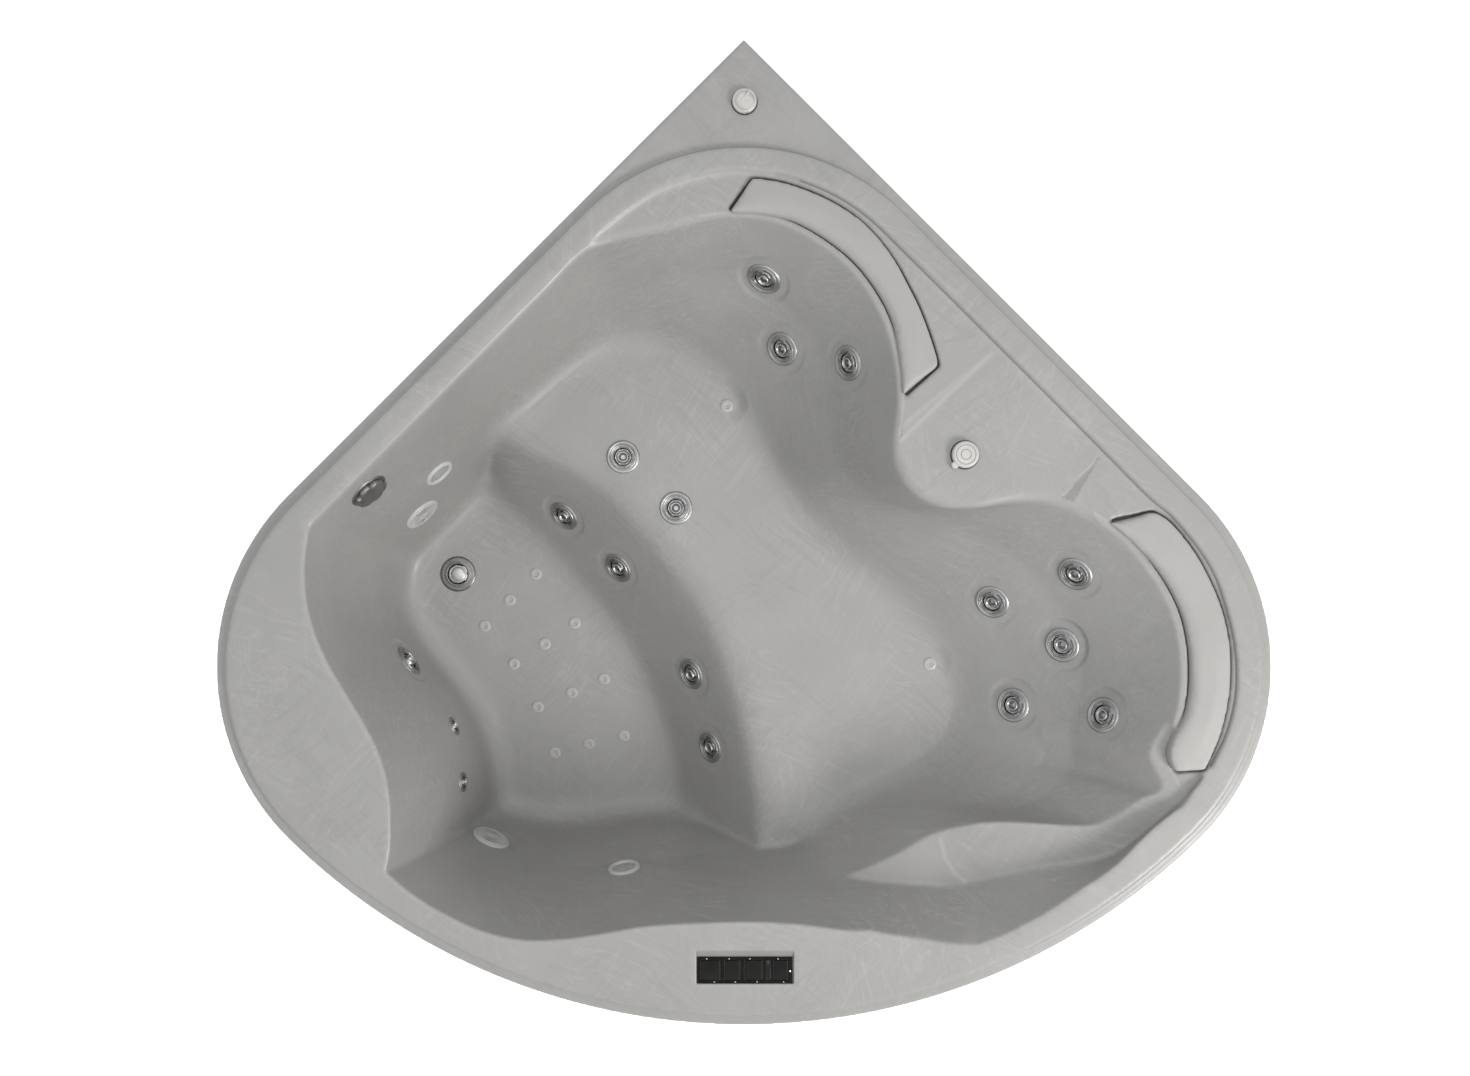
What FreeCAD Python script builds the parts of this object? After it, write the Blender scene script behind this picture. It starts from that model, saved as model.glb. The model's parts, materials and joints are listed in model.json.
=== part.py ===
import FreeCAD, Part
import math
import os
import Sketcher

# Corner bath with water jets, one object per piece, millimetres.
# +Z up, +Y towards the room corner, origin on the floor under the middle of the footprint.

V = FreeCAD.Vector
Placement = FreeCAD.Placement
Rotation = FreeCAD.Rotation

doc = FreeCAD.newDocument("corner_bath")

# ---------------------------------------------------------------- dimensions
sheet = doc.addObject("Spreadsheet::Sheet", "dims")
CELLS = [
    ("rim_level", 584.0), ("deck_level", 577.0), ("flange_level", 572.0), ("deck_under", 565.0),
    ("skirt_foot", 545.0), ("skirt_wall", 5.0), ("seat_level", 294.0), ("lounge_level", 439.0),
    ("floor_level", 105.0), ("rest_floor", 556.0), ("rest_top", 588.0), ("rest_gap", 0.3),
    ("apex_reach", 846.0), ("corner_radius", 415.0), ("corner_x", 490.4), ("corner_y", -231.3),
    ("front_radius", 1117.0), ("front_y", 271.0), ("rim_inset", 20.0), ("apex_radius", 385.6),
    ("apex_centre", 272.4), ("shell_wall", 9.0), ("floor_wall", 7.0),
    ("jet_flange_r", 32.0), ("jet_flange_t", 3.5), ("jet_barrel_r", 21.5), ("jet_hole_r", 22.0),
    ("jet_seat_r", 36.0), ("ball_r", 18.0), ("ball_bore_r", 18.35), ("small_jet_scale", 0.6),
    ("air_cap_r", 12.5), ("air_cap_t", 2.5), ("cover_r", 38.0), ("bezel_r", 31.0), ("lens_r", 20.8),
    ("drain_r", 36.5), ("stopper_r", 18.5), ("overflow_r", 36.0), ("overflow_knob_r", 32.0),
    ("air_knob_r", 23.0), ("air_knob_t", 13.0), ("corner_knob_r", 21.0), ("corner_knob_t", 11.0),
    ("pad_plate_t", 3.0), ("key_len", 33.2), ("key_t", 4.4), ("rail", 40.0), ("rail_wall", 2.5),
    ("rail_foot", 40.0), ("upright", 30.0), ("board_t", 18.0), ("board_foot", 80.0),
    ("foot_r", 25.0), ("foot_t", 8.0), ("stud_r", 6.0), ("stud_len", 62.0), ("nut_af", 19.0), ("nut_t", 8.0),
    ("water_pipe_r", 24.0), ("air_pipe_r", 16.0), ("tail_r", 19.05), ("tail_len", 25.0),
    ("motor_r", 68.0), ("motor_len", 250.0), ("volute_r", 70.0), ("volute_w", 64.0),
    ("blower_r", 70.0), ("blower_len", 95.0), ("box_long", 240.0), ("box_deep", 120.0), ("box_high", 90.0),
    ("channel_t", 18.0),
]
D = {}
for i, (alias, value) in enumerate(CELLS):
    cell = "B%d" % (i + 1)
    sheet.set("A%d" % (i + 1), alias.replace("_", " "))
    sheet.set(cell, repr(value))
    sheet.setAlias(cell, alias)
    D[alias] = value
doc.recompute()

NODES = []


def node(obj, name):
    obj.Label = name
    NODES.append((name, obj))
    return obj


# ---------------------------------------------------------------- outlines in plan
# basin: rim point, seat level point, percentage of the way at lounge level, corner flag
BASIN = [
    (-739.8, 13.6, -696.3, -18.9, 50, 1), (-683.2, 70.2, -641.1, 36.3, 50, 0), (-626.7, 126.7, -586.0, 91.5, 50, 0),
    (-570.1, 183.2, -530.8, 146.7, 50, 0), (-513.6, 239.8, -475.6, 201.9, 50, 0), (-467, 286.4, -430, 246, 50, 0),
    (-407.4, 346, -372, 298, 50, 0), (-339.2, 414.2, -305, 348, 50, 0), (-271.0, 482.5, -248, 376, 47, 0),
    (-207.9, 504.6, -205, 383, 44, 0), (-139.7, 518.3, -168, 381, 41, 0), (-75.0, 537.0, -140, 371, 41, 0),
    (-6.8, 543.8, -111, 356, 41, 0), (61.4, 533.6, -83, 337, 41, 0), (129.6, 499.5, -60, 316, 41, 0),
    (191.0, 448.4, -40, 294, 41, 0), (238.7, 376.8, -20, 267, 41, 0), (262.6, 301.8, -1, 239, 41, 0),
    (269.4, 221.6, 16, 208, 41, 0), (262.6, 153.5, 33, 178, 41, 0), (272.8, 98.9, 48, 148, 41, 0),
    (305.2, 58.0, 63, 119, 41, 0), (359.7, 35.8, 80, 90, 41, 0), (419.4, 39.2, 110, 48, 41, 0),
    (479.1, 52.9, 160, -14, 41, 0), (538.7, 52.9, 220, -66, 41, 0), (598.4, 29.0, 281, -108, 41, 0),
    (652.9, -10.2, 331, -157, 41, 0), (705.8, -75.0, 369, -208, 41, 0), (741.6, -144.9, 393, -250, 41, 0),
    (755.2, -226.7, 405, -290, 41, 0), (748.4, -306.8, 408, -328, 41, 0), (722.8, -380.1, 403, -360, 41, 0),
    (746.6, -443.8, 392, -388, 41, 0), (719.7, -466.3, 374, -412, 41, 0), (694.6, -494.3, 352, -432, 41, 0),
    (666.6, -518.2, 327, -449, 41, 0), (624.4, -522.2, 300, -465, 41, 0), (586.4, -518.4, 274, -480, 41, 0),
    (525.1, -515.5, 247, -495, 41, 0), (477.3, -520.3, 218, -512, 44, 0), (413.9, -546.6, 186, -531, 47, 0),
    (347.4, -610, 156, -552, 50, 0), (225, -677, 126, -577, 50, 0), (95.5, -669.1, 95, -600, 50, 0),
    (27.3, -664.8, 45, -608, 50, 0), (-40.9, -665.7, 10, -608.5, 50, 0), (-109.1, -668.2, -30, -610, 50, 0),
    (-177.2, -673.3, -75, -614, 50, 0), (-245.4, -685.3, -140, -621, 50, 0), (-313.6, -694.6, -210, -630, 50, 0),
    (-381.8, -695.5, -280, -638, 50, 0), (-450.0, -680.1, -350, -640, 50, 0), (-518.2, -647.8, -420, -630, 50, 0),
    (-569.3, -615.4, -480, -612, 50, 0), (-611.9, -579.6, -548.6, -576.6, 50, 1),
    (-605.1, -543.8, -546.6, -547.4, 50, 0), (-603.4, -508.0, -547.8, -515.3, 50, 0),
    (-605.1, -456.8, -552.2, -467.8, 50, 0), (-611.9, -414.2, -560.5, -426.9, 50, 0),
    (-627.3, -368.2, -576.0, -381.4, 50, 0), (-651.2, -322.2, -602.9, -333.0, 50, 0),
    (-680.1, -274.4, -638.1, -283.4, 50, 0), (-709.1, -225.0, -673.4, -233.9, 50, 0),
    (-733.0, -170.4, -700.9, -182.3, 50, 0), (-746.6, -115.9, -713.8, -130.8, 50, 0),
    (-750.0, -64.8, -713.9, -83.0, 50, 0), (-746.6, -22.1, -708.8, -45.0, 50, 0),
]
# footwell: seat level point, floor point, corner flag
FOOTWELL = [
    (-696.3, -18.9, -668.0, -40.0, 1), (-623.5, 54.0, -623.6, 4.4, 0), (-550.6, 126.8, -579.2, 48.7, 0),
    (-475.6, 201.9, -533.5, 94.4, 1), (-429.0, 166.8, -501.2, 70.4, 0), (-352.1, 139.9, -466.0, 39.4, 0),
    (-275.1, 95.6, -418.5, -8.1, 0), (-198.1, 22.5, -360.6, -72.2, 0), (-136.5, -52.5, -302.7, -138.4, 0),
    (-86.5, -119.9, -259.3, -196.3, 0), (-53.8, -179.5, -224.1, -258.3, 0), (-23.0, -258.4, -191.0, -324.5, 0),
    (-1.8, -322.0, -168.3, -382.4, 0), (15.5, -398.9, -149.7, -438.2, 0), (30.9, -485.5, -135.2, -494.0, 0),
    (34.7, -552.9, -127.0, -541.6, 0), (32.8, -608.2, -124.9, -574.7, 1), (2, -608.7, -174.5, -576.7, 0),
    (-40, -611, -222.1, -580.9, 0), (-90, -615.5, -267.5, -587.1, 0), (-150, -622, -311.0, -593.3, 0),
    (-215, -630.5, -352.3, -597.4, 0), (-285, -638, -389.5, -597.4, 0), (-352, -640, -424.7, -593.3, 0),
    (-420, -630, -459.8, -587.1, 0), (-480, -612, -486.7, -580.9, 0), (-548.6, -576.6, -507.4, -574.7, 1),
    (-546.6, -547.4, -508.4, -549.8, 0), (-547.8, -515.3, -511.5, -520.1, 0), (-552.2, -467.8, -517.7, -475.0, 0),
    (-560.5, -426.9, -527.0, -435.1, 0), (-576.0, -381.4, -542.5, -390.0, 0), (-602.9, -333.0, -571.5, -340.0, 0),
    (-638.1, -283.4, -610.8, -289.3, 0), (-673.4, -233.9, -650.1, -239.7, 0), (-700.9, -182.3, -680.0, -190.1, 0),
    (-713.8, -130.8, -692.4, -140.5, 0), (-713.9, -83.0, -690.4, -95.0, 0), (-708.8, -45.0, -684.2, -59.8, 0),
]
# sloping arm rest at the front right: rim point, point on the slope
RAMP = [
    (785.9, -414.2, 781.3, -424.8), (768.9, -436.4, 765.7, -444.5), (743.3, -467.1, 742.2, -473.3),
    (709.2, -494.3, 713.6, -500.8), (675.1, -525.0, 683.3, -532.0), (641.0, -560.8, 650.9, -556.4),
    (606.9, -588.1, 621.5, -570.3), (572.8, -610.3, 588.5, -579.0), (538.7, -634.1, 555.2, -585.2),
    (504.6, -656.3, 521.9, -591.3), (470.5, -674.2, 488.2, -600.2), (436.4, -690.4, 454.4, -609.2),
    (397.2, -704.9, 420.3, -618.3), (351.2, -701.5, 368.8, -631.9), (291.5, -692.1, 316.7, -632.9),
    (234.0, -684.0, 246.5, -631.0), (200.0, -674.0, 160.0, -622.0),
]
RAMP_BACK = [(95.5, -456.8), (266.0, -286.4), (521.7, -184.1), (692.2, -252.3)]
# step between the raised rim and the lower deck, closed inside the basin
DECK_LINE = [
    (-262.5, 492.7), (-245.4, 508.9), (-211.3, 537.0), (-177.2, 561.7), (-143.2, 581.3), (-109.1, 595.0),
    (-75.0, 605.2), (-40.9, 612.0), (-6.8, 614.6), (27.3, 611.2), (61.4, 605.2 + 4.0), (95.5, 599.7), (129.6, 586.7),
    (163.7, 569.7), (197.8, 547.5), (231.9, 518.6), (266.0, 485.0), (351.2, 400.6), (436.4, 315.4), (521.7, 230.2),
    (606.9, 144.1), (692.2, 58.0), (726.2, 27.3 + 3.0), (756.9, -4.5), (780.8, -35.6), (803.5, -75.0), (819.6, -119.3),
    (833.2, -170.4), (839.8, -218.2), (839.8, -269.3), (833.2, -310.2), (819.9, -352.8), (797.4, -398.9),
]
DECK_BACK = [(740.0, -411.0), (600.0, -400.0), (300.0, -200.0), (0.0, 100.0), (-200.0, 400.0)]
# head rests: outer edge, then the two ends carried on into the basin
REST_A = [
    (13.7, 605.2), (44.4, 602.6), (78.5, 595.0), (112.6, 583.0), (146.6, 567.7), (180.7, 547.2), (211.4, 521.7),
    (238.7, 491.0), (262.6, 456.9), (283.0, 419.4), (300.1, 385.3), (315.4, 346.1), (327.3, 310.3), (334.2, 284.7),
]
REST_A_BACK = [(233.8, 195.0), (170.0, 240.0), (120.0, 330.0), (40.0, 430.0), (-40.0, 462.0), (-70.0, 491.5)]
REST_B = [
    (700.7, 35.8), (726.2, 20.5), (753.5, -10.2), (777.4, -44.3), (799.5, -86.9), (816.6, -129.5), (826.8, -170.4),
    (831.9, -211.4), (831.9, -252.3), (826.8, -296.6), (816.6, -339.2), (803.0, -375.0), (787.6, -407.4),
]
REST_B_BACK = [(640.0, -424.4), (600.0, -300.0), (600.0, -150.0), (559.0, 4.2)]

# fittings: centre on the wet surface, direction into the basin
JETS = [
    ((36.8, 454.9, 464.0), (-0.3948, -0.7167, 0.5748)), ((71.5, 338.8, 396.8), (-0.5404, -0.3811, 0.7502)),
    ((185.6, 301.0, 487.1), (-0.7568, -0.2266, 0.6131)), ((462.6, -129.2, 379.6), (-0.4551, -0.3580, 0.8153)),
    ((588.7, -74.1, 489.5), (-0.5542, -0.4543, 0.6975)), ((581.6, -205.5, 424.6), (-0.5374, -0.1594, 0.8281)),
    ((504.8, -322.7, 364.5), (-0.5872, 0.0873, 0.8047)), ((641.7, -326.2, 477.5), (-0.7099, 0.2271, 0.6667)),
    ((-230.8, 145.7, 294.0), (0, 0, 1)), ((-128.8, 47.5, 294.0), (0, 0, 1)),
    ((-358.7, 34.0, 183.1), (-0.4964, -0.5452, 0.6755)), ((-249.5, -70.2, 192.1), (-0.5495, -0.4592, 0.6979)),
    ((-102.8, -280.8, 207.8), (-0.6686, -0.2716, 0.6923)), ((-65.2, -427.4, 199.3), (-0.7258, -0.1694, 0.6668)),
    ((-655.5, -251.8, 242.0), (0.8080, 0.5827, 0.0872)), ((-568.0, -380.0, 237.7), (0.8947, 0.4246, 0.1385)),
    ((-544.8, -485.2, 264.4), (0.9785, 0.1047, 0.1778)),
]
SMALL = (15, 16)
AIR_FLOOR = [
    (-426.8, -84.6), (-480.5, -138.4), (-532.2, -192.1), (-346.1, -185.9), (-408.1, -229.4), (-472.2, -270.7),
    (-286.2, -301.7), (-352.3, -330.7), (-422.6, -359.6), (-244.8, -419.6), (-317.2, -436.1), (-387.5, -454.7),
]
AIR_SEAT = [(-30.7, 243.8), (360.0, -252.7)]
LIGHTS = [((-575.6, 112.8, 335.7), (0.6953, -0.6953, 0.1820)), ((-226.3, -637.4, 325.2), (-0.1203, 0.9757, 0.1834))]
SUCTIONS = [((-628.6, 36.8, 247.9), (0.6953, -0.6953, 0.1822)), ((-493.8, -598.5, 245.8), (0.4144, 0.9008, 0.1298))]
OVERFLOW = ((-660.6, 73.4, 510.0), (0.6953, -0.6953, 0.1820))
DRAIN = (-588.0, -84.6)
AIR_KNOB = (377.6, 132.1)
CORNER_KNOB = (1.0, 736.9)


# ---------------------------------------------------------------- helpers
def unit(v):
    k = math.sqrt(v[0] * v[0] + v[1] * v[1] + v[2] * v[2])
    return (v[0] / k, v[1] / k, v[2] / k)


def seat(p, n):
    n = unit(n)
    h = math.hypot(n[0], n[1])
    x = (1.0, 0.0, 0.0) if h < 0.05 else (-n[1] / h, n[0] / h, 0.0)
    y = (n[1] * x[2] - n[2] * x[1], n[2] * x[0] - n[0] * x[2], n[0] * x[1] - n[1] * x[0])
    m = FreeCAD.Matrix(x[0], y[0], n[0], p[0], x[1], y[1], n[1], p[1], x[2], y[2], n[2], p[2], 0, 0, 0, 1)
    return Placement(m)


def offs(pts, d):
    n = len(pts)
    area = sum(pts[i][0] * pts[(i + 1) % n][1] - pts[(i + 1) % n][0] * pts[i][1] for i in range(n))
    sg = 1.0 if area > 0 else -1.0
    out = []
    for i in range(n):
        a, b, c = pts[i - 1], pts[i], pts[(i + 1) % n]
        u1 = (b[0] - a[0], b[1] - a[1])
        u2 = (c[0] - b[0], c[1] - b[1])
        l1, l2 = math.hypot(*u1), math.hypot(*u2)
        n1 = (sg * u1[1] / l1, -sg * u1[0] / l1)
        n2 = (sg * u2[1] / l2, -sg * u2[0] / l2)
        m = (n1[0] + n2[0], n1[1] + n2[1])
        k = m[0] * m[0] + m[1] * m[1]
        s = 2.0 * d / k if k > 0.2 else d
        out.append((b[0] + m[0] * s, b[1] + m[1] * s))
    return out


def dense(rows, corners, idx, sub):
    n = len(rows)
    out, cidx = [], []
    for a in range(len(corners)):
        i0 = corners[a]
        i1 = corners[(a + 1) % len(corners)]
        if i1 <= i0:
            i1 += n
        pts = [(rows[j % n][idx], rows[j % n][idx + 1]) for j in range(i0, i1 + 1)]
        cidx.append(len(out))
        for j in range(len(pts) - 1):
            p1, p2 = pts[j], pts[j + 1]
            p0 = pts[j - 1] if j > 0 else (2 * p1[0] - p2[0], 2 * p1[1] - p2[1])
            p3 = pts[j + 2] if j + 2 < len(pts) else (2 * p2[0] - p1[0], 2 * p2[1] - p1[1])
            for q in range(sub):
                t = q / float(sub)
                t2, t3 = t * t, t * t * t
                out.append(tuple(0.5 * ((2 * p1[k]) + (-p0[k] + p2[k]) * t + (2 * p0[k] - 5 * p1[k] + 4 * p2[k] - p3[k]) * t2
                                        + (-p0[k] + 3 * p1[k] - 3 * p2[k] + p3[k]) * t3) for k in (0, 1)))
    return out, cidx


def spline(pts3):
    c = Part.BSplineCurve()
    c.interpolate(Points=pts3, Parameters=[float(i) for i in range(len(pts3))])
    return c.toShape()


def wire(pts, z, cidx):
    n = len(pts)
    zz = z if callable(z) else (lambda x, y: z)
    p3 = [V(p[0], p[1], zz(p[0], p[1])) for p in pts]
    edges = []
    for k in range(len(cidx)):
        i0 = cidx[k]
        i1 = cidx[(k + 1) % len(cidx)]
        if i1 <= i0:
            i1 += n
        seg = [p3[j % n] for j in range(i0, i1 + 1)]
        edges.append(Part.makeLine(seg[0], seg[1]) if len(seg) == 2 else spline(seg))
    return Part.Wire(edges)


def poly_face(pts, z):
    p3 = [V(p[0], p[1], z) for p in pts]
    return Part.Face(Part.makePolygon(p3 + [p3[0]]))


def part_feature(tag, shape):
    o = doc.addObject("Part::Feature", tag)
    o.Shape = shape
    return o


def cyl(tag, r, length, base, axis=(0, 0, 1), rx=None, lx=None):
    o = doc.addObject("Part::Cylinder", tag)
    o.Radius = r
    o.Height = length
    if rx:
        o.setExpression("Radius", rx)
    if lx:
        o.setExpression("Height", lx)
    o.Placement = Placement(V(*base), Rotation(V(0, 0, 1), V(*axis)))
    return o


def box(tag, lo, hi, **ex):
    o = doc.addObject("Part::Box", tag)
    o.Length, o.Width, o.Height = hi[0] - lo[0], hi[1] - lo[1], hi[2] - lo[2]
    for k, e in ex.items():
        o.setExpression(k, e)
    o.Placement = Placement(V(*lo), Rotation())
    return o


def fuse(tag, objs):
    o = doc.addObject("Part::MultiFuse", tag)
    o.Shapes = objs
    return o


def cut(tag, base, tool):
    o = doc.addObject("Part::Cut", tag)
    o.Base = base
    o.Tool = tool
    return o


def plane(b, role):
    for f in b.Origin.OriginFeatures:
        if f.Role == role:
            return f
    raise RuntimeError("plane " + role)


def add_sketch(b, tag, role, z=0.0, zx=None):
    s = b.newObject("Sketcher::SketchObject", tag)
    s.AttachmentSupport = (plane(b, role), [""])
    s.MapMode = "FlatFace"
    s.AttachmentOffset = Placement(V(0, 0, z), Rotation())
    if zx:
        s.setExpression("AttachmentOffset.Base.z", zx)
    return s


def draw_poly(s, pts):
    n = len(pts)
    first = s.GeometryCount
    for i in range(n):
        a, b = pts[i], pts[(i + 1) % n]
        s.addGeometry(Part.LineSegment(V(a[0], a[1], 0), V(b[0], b[1], 0)), False)
    for i in range(n):
        s.addConstraint(Sketcher.Constraint("Coincident", first + i, 2, first + (i + 1) % n, 1))


def draw_circle(s, x, y, r, rx=None, name=None):
    g = s.addGeometry(Part.Circle(V(x, y, 0), V(0, 0, 1), r), False)
    c = s.addConstraint(Sketcher.Constraint("Radius", g, r))
    if rx:
        s.renameConstraint(c, name)
        s.setExpression("Constraints." + name, rx)


def pad(b, tag, sk, length, lx=None, down=False):
    p = b.newObject("PartDesign::Pad", tag)
    p.Profile = sk
    p.Length = length
    if lx:
        p.setExpression("Length", lx)
    p.Reversed = down
    sk.Visibility = False
    b.Tip = p
    return p


def pocket(b, tag, sk, length=None, lx=None, up=False):
    before = b.Shape.Volume if not b.Shape.isNull() else 0.0
    p = b.newObject("PartDesign::Pocket", tag)
    p.Profile = sk
    if length is None:
        p.Type = 1
    else:
        p.Length = length
        if lx:
            p.setExpression("Length", lx)
    p.Reversed = up
    sk.Visibility = False
    b.Tip = p
    doc.recompute()
    if before and not b.Shape.Volume < before - 1e-3:
        raise RuntimeError("pocket removed nothing: " + tag)
    return p


def rev(tag, path):
    # path: closed list of (r, z), an entry (r, z, rm, zm) is reached by an arc through (rm, zm)
    b = doc.addObject("PartDesign::Body", tag)
    s = add_sketch(b, tag + "_profile", "XZ_Plane")
    n = len(path)
    for i in range(n):
        a, e = path[i], path[(i + 1) % n]
        if len(e) == 4:
            s.addGeometry(Part.Arc(V(a[0], a[1], 0), V(e[2], e[3], 0), V(e[0], e[1], 0)), False)
        else:
            s.addGeometry(Part.LineSegment(V(a[0], a[1], 0), V(e[0], e[1], 0)), False)
    doc.recompute()
    r = b.newObject("PartDesign::Revolution", tag + "_turn")
    r.Profile = s
    r.ReferenceAxis = (s, ["V_Axis"])
    r.Angle = 360.0
    s.Visibility = False
    b.Tip = r
    doc.recompute()
    return b


def copies(master, places, scale=None):
    out = []
    for i, pl in enumerate(places):
        s = master.Shape.copy()
        if s.ShapeType == "Compound" and len(s.Solids) == 1:
            s = s.Solids[0]
        s.Placement = Placement()
        if scale and scale[i] != 1.0:
            s = s.scaled(scale[i], V(0, 0, 0))
        s.Placement = pl
        out.append(s)
    return out


def solid_at(shape, pl):
    s = shape.copy()
    s.Placement = pl
    return s


def bent_line(pts, radius):
    # straight runs joined by arcs
    p = [V(*q) for q in pts]
    edges, last = [], p[0]
    n = len(p)
    for i in range(1, n - 1):
        u, w = p[i] - p[i - 1], p[i + 1] - p[i]
        l1, l2 = u.Length, w.Length
        u.normalize()
        w.normalize()
        ang = u.getAngle(w)
        if ang < 0.02:
            continue
        t = min(radius * math.tan(ang / 2), l1 * (0.9 if i == 1 else 0.48), l2 * (0.9 if i == n - 2 else 0.48))
        r = t / math.tan(ang / 2)
        bis = w - u
        bis.normalize()
        centre = p[i] + bis * (r / math.cos(ang / 2))
        a, b = p[i] - u * t, p[i] + w * t
        if (last - a).Length > 1e-6:
            edges.append(Part.makeLine(last, a))
        edges.append(Part.Arc(a, centre - bis * r, b).toShape())
        last = b
    edges.append(Part.makeLine(last, p[-1]))
    return Part.Wire(edges)


def run_pipe(pts, r, radius=60.0):
    w = bent_line(pts, radius)
    c = Part.Wire([Part.makeCircle(r, V(*pts[0]), V(*pts[1]) - V(*pts[0]))])
    sh = w.makePipeShell([c], True, False)
    return sh if sh.Volume > 0 else sh.reversed()


def end_cap(p, q, r):
    # short plug round the last point of a pipe
    d = V(*p) - V(*q)
    d.normalize()
    return Part.makeCylinder(r, 30.0, V(*p) - d * 15.0, d)


# ---------------------------------------------------------------- deck
def outline(inset):
    a = D["apex_reach"] - inset * math.sqrt(2.0)
    r = D["corner_radius"] - inset
    rf = D["front_radius"] - inset
    cx, cy = D["corner_x"], D["corner_y"]
    fy = D["front_y"]
    k = 1.0 / math.sqrt(2.0)
    ux, uy = cx - 0.0, cy - fy
    ul = math.hypot(ux, uy)
    ft = (cx + r * ux / ul, cy + r * uy / ul)
    top = (cx + r * k, cy + r * k)
    mid = (cx + r * math.cos(math.radians(-4.0)), cy + r * math.sin(math.radians(-4.0)))
    segs = [("line", (0.0, a), (-top[0], top[1])),
            ("arc", (-top[0], top[1]), (-mid[0], mid[1]), (-ft[0], ft[1])),
            ("arc", (-ft[0], ft[1]), (0.0, fy - rf), ft),
            ("arc", ft, mid, top),
            ("line", top, (0.0, a))]
    return segs


def raised_outline():
    segs = outline(D["rim_inset"])
    k = 1.0 / math.sqrt(2.0)
    r, c = D["apex_radius"], D["apex_centre"]
    t = (r * k, c + r * k)
    top = segs[4][1]
    return [("line", (-t[0], t[1]), (-top[0], top[1])), segs[1], segs[2], segs[3], ("line", top, t),
            ("arc", t, (0.0, c + r), (-t[0], t[1]))]


def draw_segs(s, segs):
    first = s.GeometryCount
    for g in segs:
        if g[0] == "line":
            s.addGeometry(Part.LineSegment(V(g[1][0], g[1][1], 0), V(g[2][0], g[2][1], 0)), False)
        else:
            s.addGeometry(Part.Arc(V(g[1][0], g[1][1], 0), V(g[2][0], g[2][1], 0), V(g[3][0], g[3][1], 0)), False)
    return first


deck = doc.addObject("PartDesign::Body", "deck_blank")
s = add_sketch(deck, "flange_outline", "XY_Plane", D["deck_under"], "dims.deck_under")
draw_segs(s, outline(0.0))
pad(deck, "flange_plate", s, 7.0, "dims.flange_level - dims.deck_under")
s = add_sketch(deck, "rim_outline", "XY_Plane", D["deck_under"], "dims.deck_under")
draw_segs(s, raised_outline())
pad(deck, "rim_plate", s, 19.0, "dims.rim_level - dims.deck_under")
s = add_sketch(deck, "skirt_ring", "XY_Plane", D["deck_under"], "dims.deck_under")
draw_segs(s, outline(0.0))
draw_segs(s, outline(D["skirt_wall"]))
pad(deck, "skirt", s, 20.0, "dims.deck_under - dims.skirt_foot", down=True)
doc.recompute()
s = add_sketch(deck, "lower_deck_line", "XY_Plane", D["deck_level"], "dims.deck_level")
draw_poly(s, DECK_LINE + DECK_BACK)
pocket(deck, "lower_deck", s, 20.0, up=True)
s = add_sketch(deck, "keypad_recess_line", "XY_Plane", 579.0, "dims.rim_level - 5")
draw_poly(s, [(-81.3, -770.6), (84.9, -770.6), (84.9, -714.3), (-81.3, -714.3)])
pocket(deck, "keypad_recess", s, 20.0, up=True)
s = add_sketch(deck, "keypad_hole_line", "XY_Plane", 560.0)
draw_poly(s, [(-78.3, -768.2), (81.3, -768.2), (81.3, -727.4), (-78.3, -727.4)])
pocket(deck, "keypad_hole", s, 30.0, up=True)
doc.recompute()

# ---------------------------------------------------------------- basin walls
uc = [i for i, r in enumerate(BASIN) if r[5]]
fc = [i for i, r in enumerate(FOOTWELL) if r[4]]
ut, uci = dense(BASIN, uc, 0, 2)
um, _ = dense(BASIN, uc, 2, 2)
NB = len(BASIN)
share = []
for i in range(NB):
    a, b = BASIN[i][4] / 100.0, BASIN[(i + 1) % NB][4] / 100.0
    share += [a, 0.5 * (a + b)]
uq = [(a[0] + (b[0] - a[0]) * q, a[1] + (b[1] - a[1]) * q) for a, b, q in zip(ut, um, share)]
fm, fci = dense(FOOTWELL, fc, 0, 2)
fb, _ = dense(FOOTWELL, fc, 2, 2)
s1 = [(r[0], r[1]) for r in RAMP] + RAMP_BACK
s2 = [(r[2], r[3]) for r in RAMP] + RAMP_BACK
sc = [0, 12, 16, 17, 18, 19, 20]
zr, zs, zq, zf = D["rim_level"], D["seat_level"], D["lounge_level"], D["floor_level"]
w = D["shell_wall"]


def ramp_drop(x, y):
    return 12.0 - 0.2025 * (x - 777.0) - 0.0635 * (y + 423.0)


def loft(tag, wires):
    return part_feature(tag, Part.makeLoft(wires, True, True))


basin_void = loft("basin_void", [wire(ut, 600.0, uci), wire(ut, zr, uci), wire(uq, zq, uci), wire(um, zs, uci)])
basin_outer = loft("basin_outer", [wire(offs(ut, w), zr - 12.0, uci), wire(offs(uq, w + 0.5), zq - 2.0, uci),
                                   wire(offs(um, w + 1.0), zs - 7.0, uci)])
foot_void = loft("footwell_void", [wire(offs(fm, -1.2), zs + 6.0, fci), wire(fb, zf, fci)])
foot_outer = loft("footwell_outer", [wire(offs(fm, w), zs - 2.0, fci), wire(offs(fb, w), zf - D["floor_wall"], fci)])
ramp_void = loft("ramp_void", [wire(s1, 600.0, sc), wire(s1, zr, sc),
                               wire(s2, lambda x, y: zr - max(ramp_drop(x, y), -50.0), sc)])
ramp_outer = loft("ramp_outer", [wire(offs(s1, w), zr - 12.0, sc),
                                 wire(offs(s2, w), lambda x, y: zr - 7.0 - ramp_drop(x, y), sc)])


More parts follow.
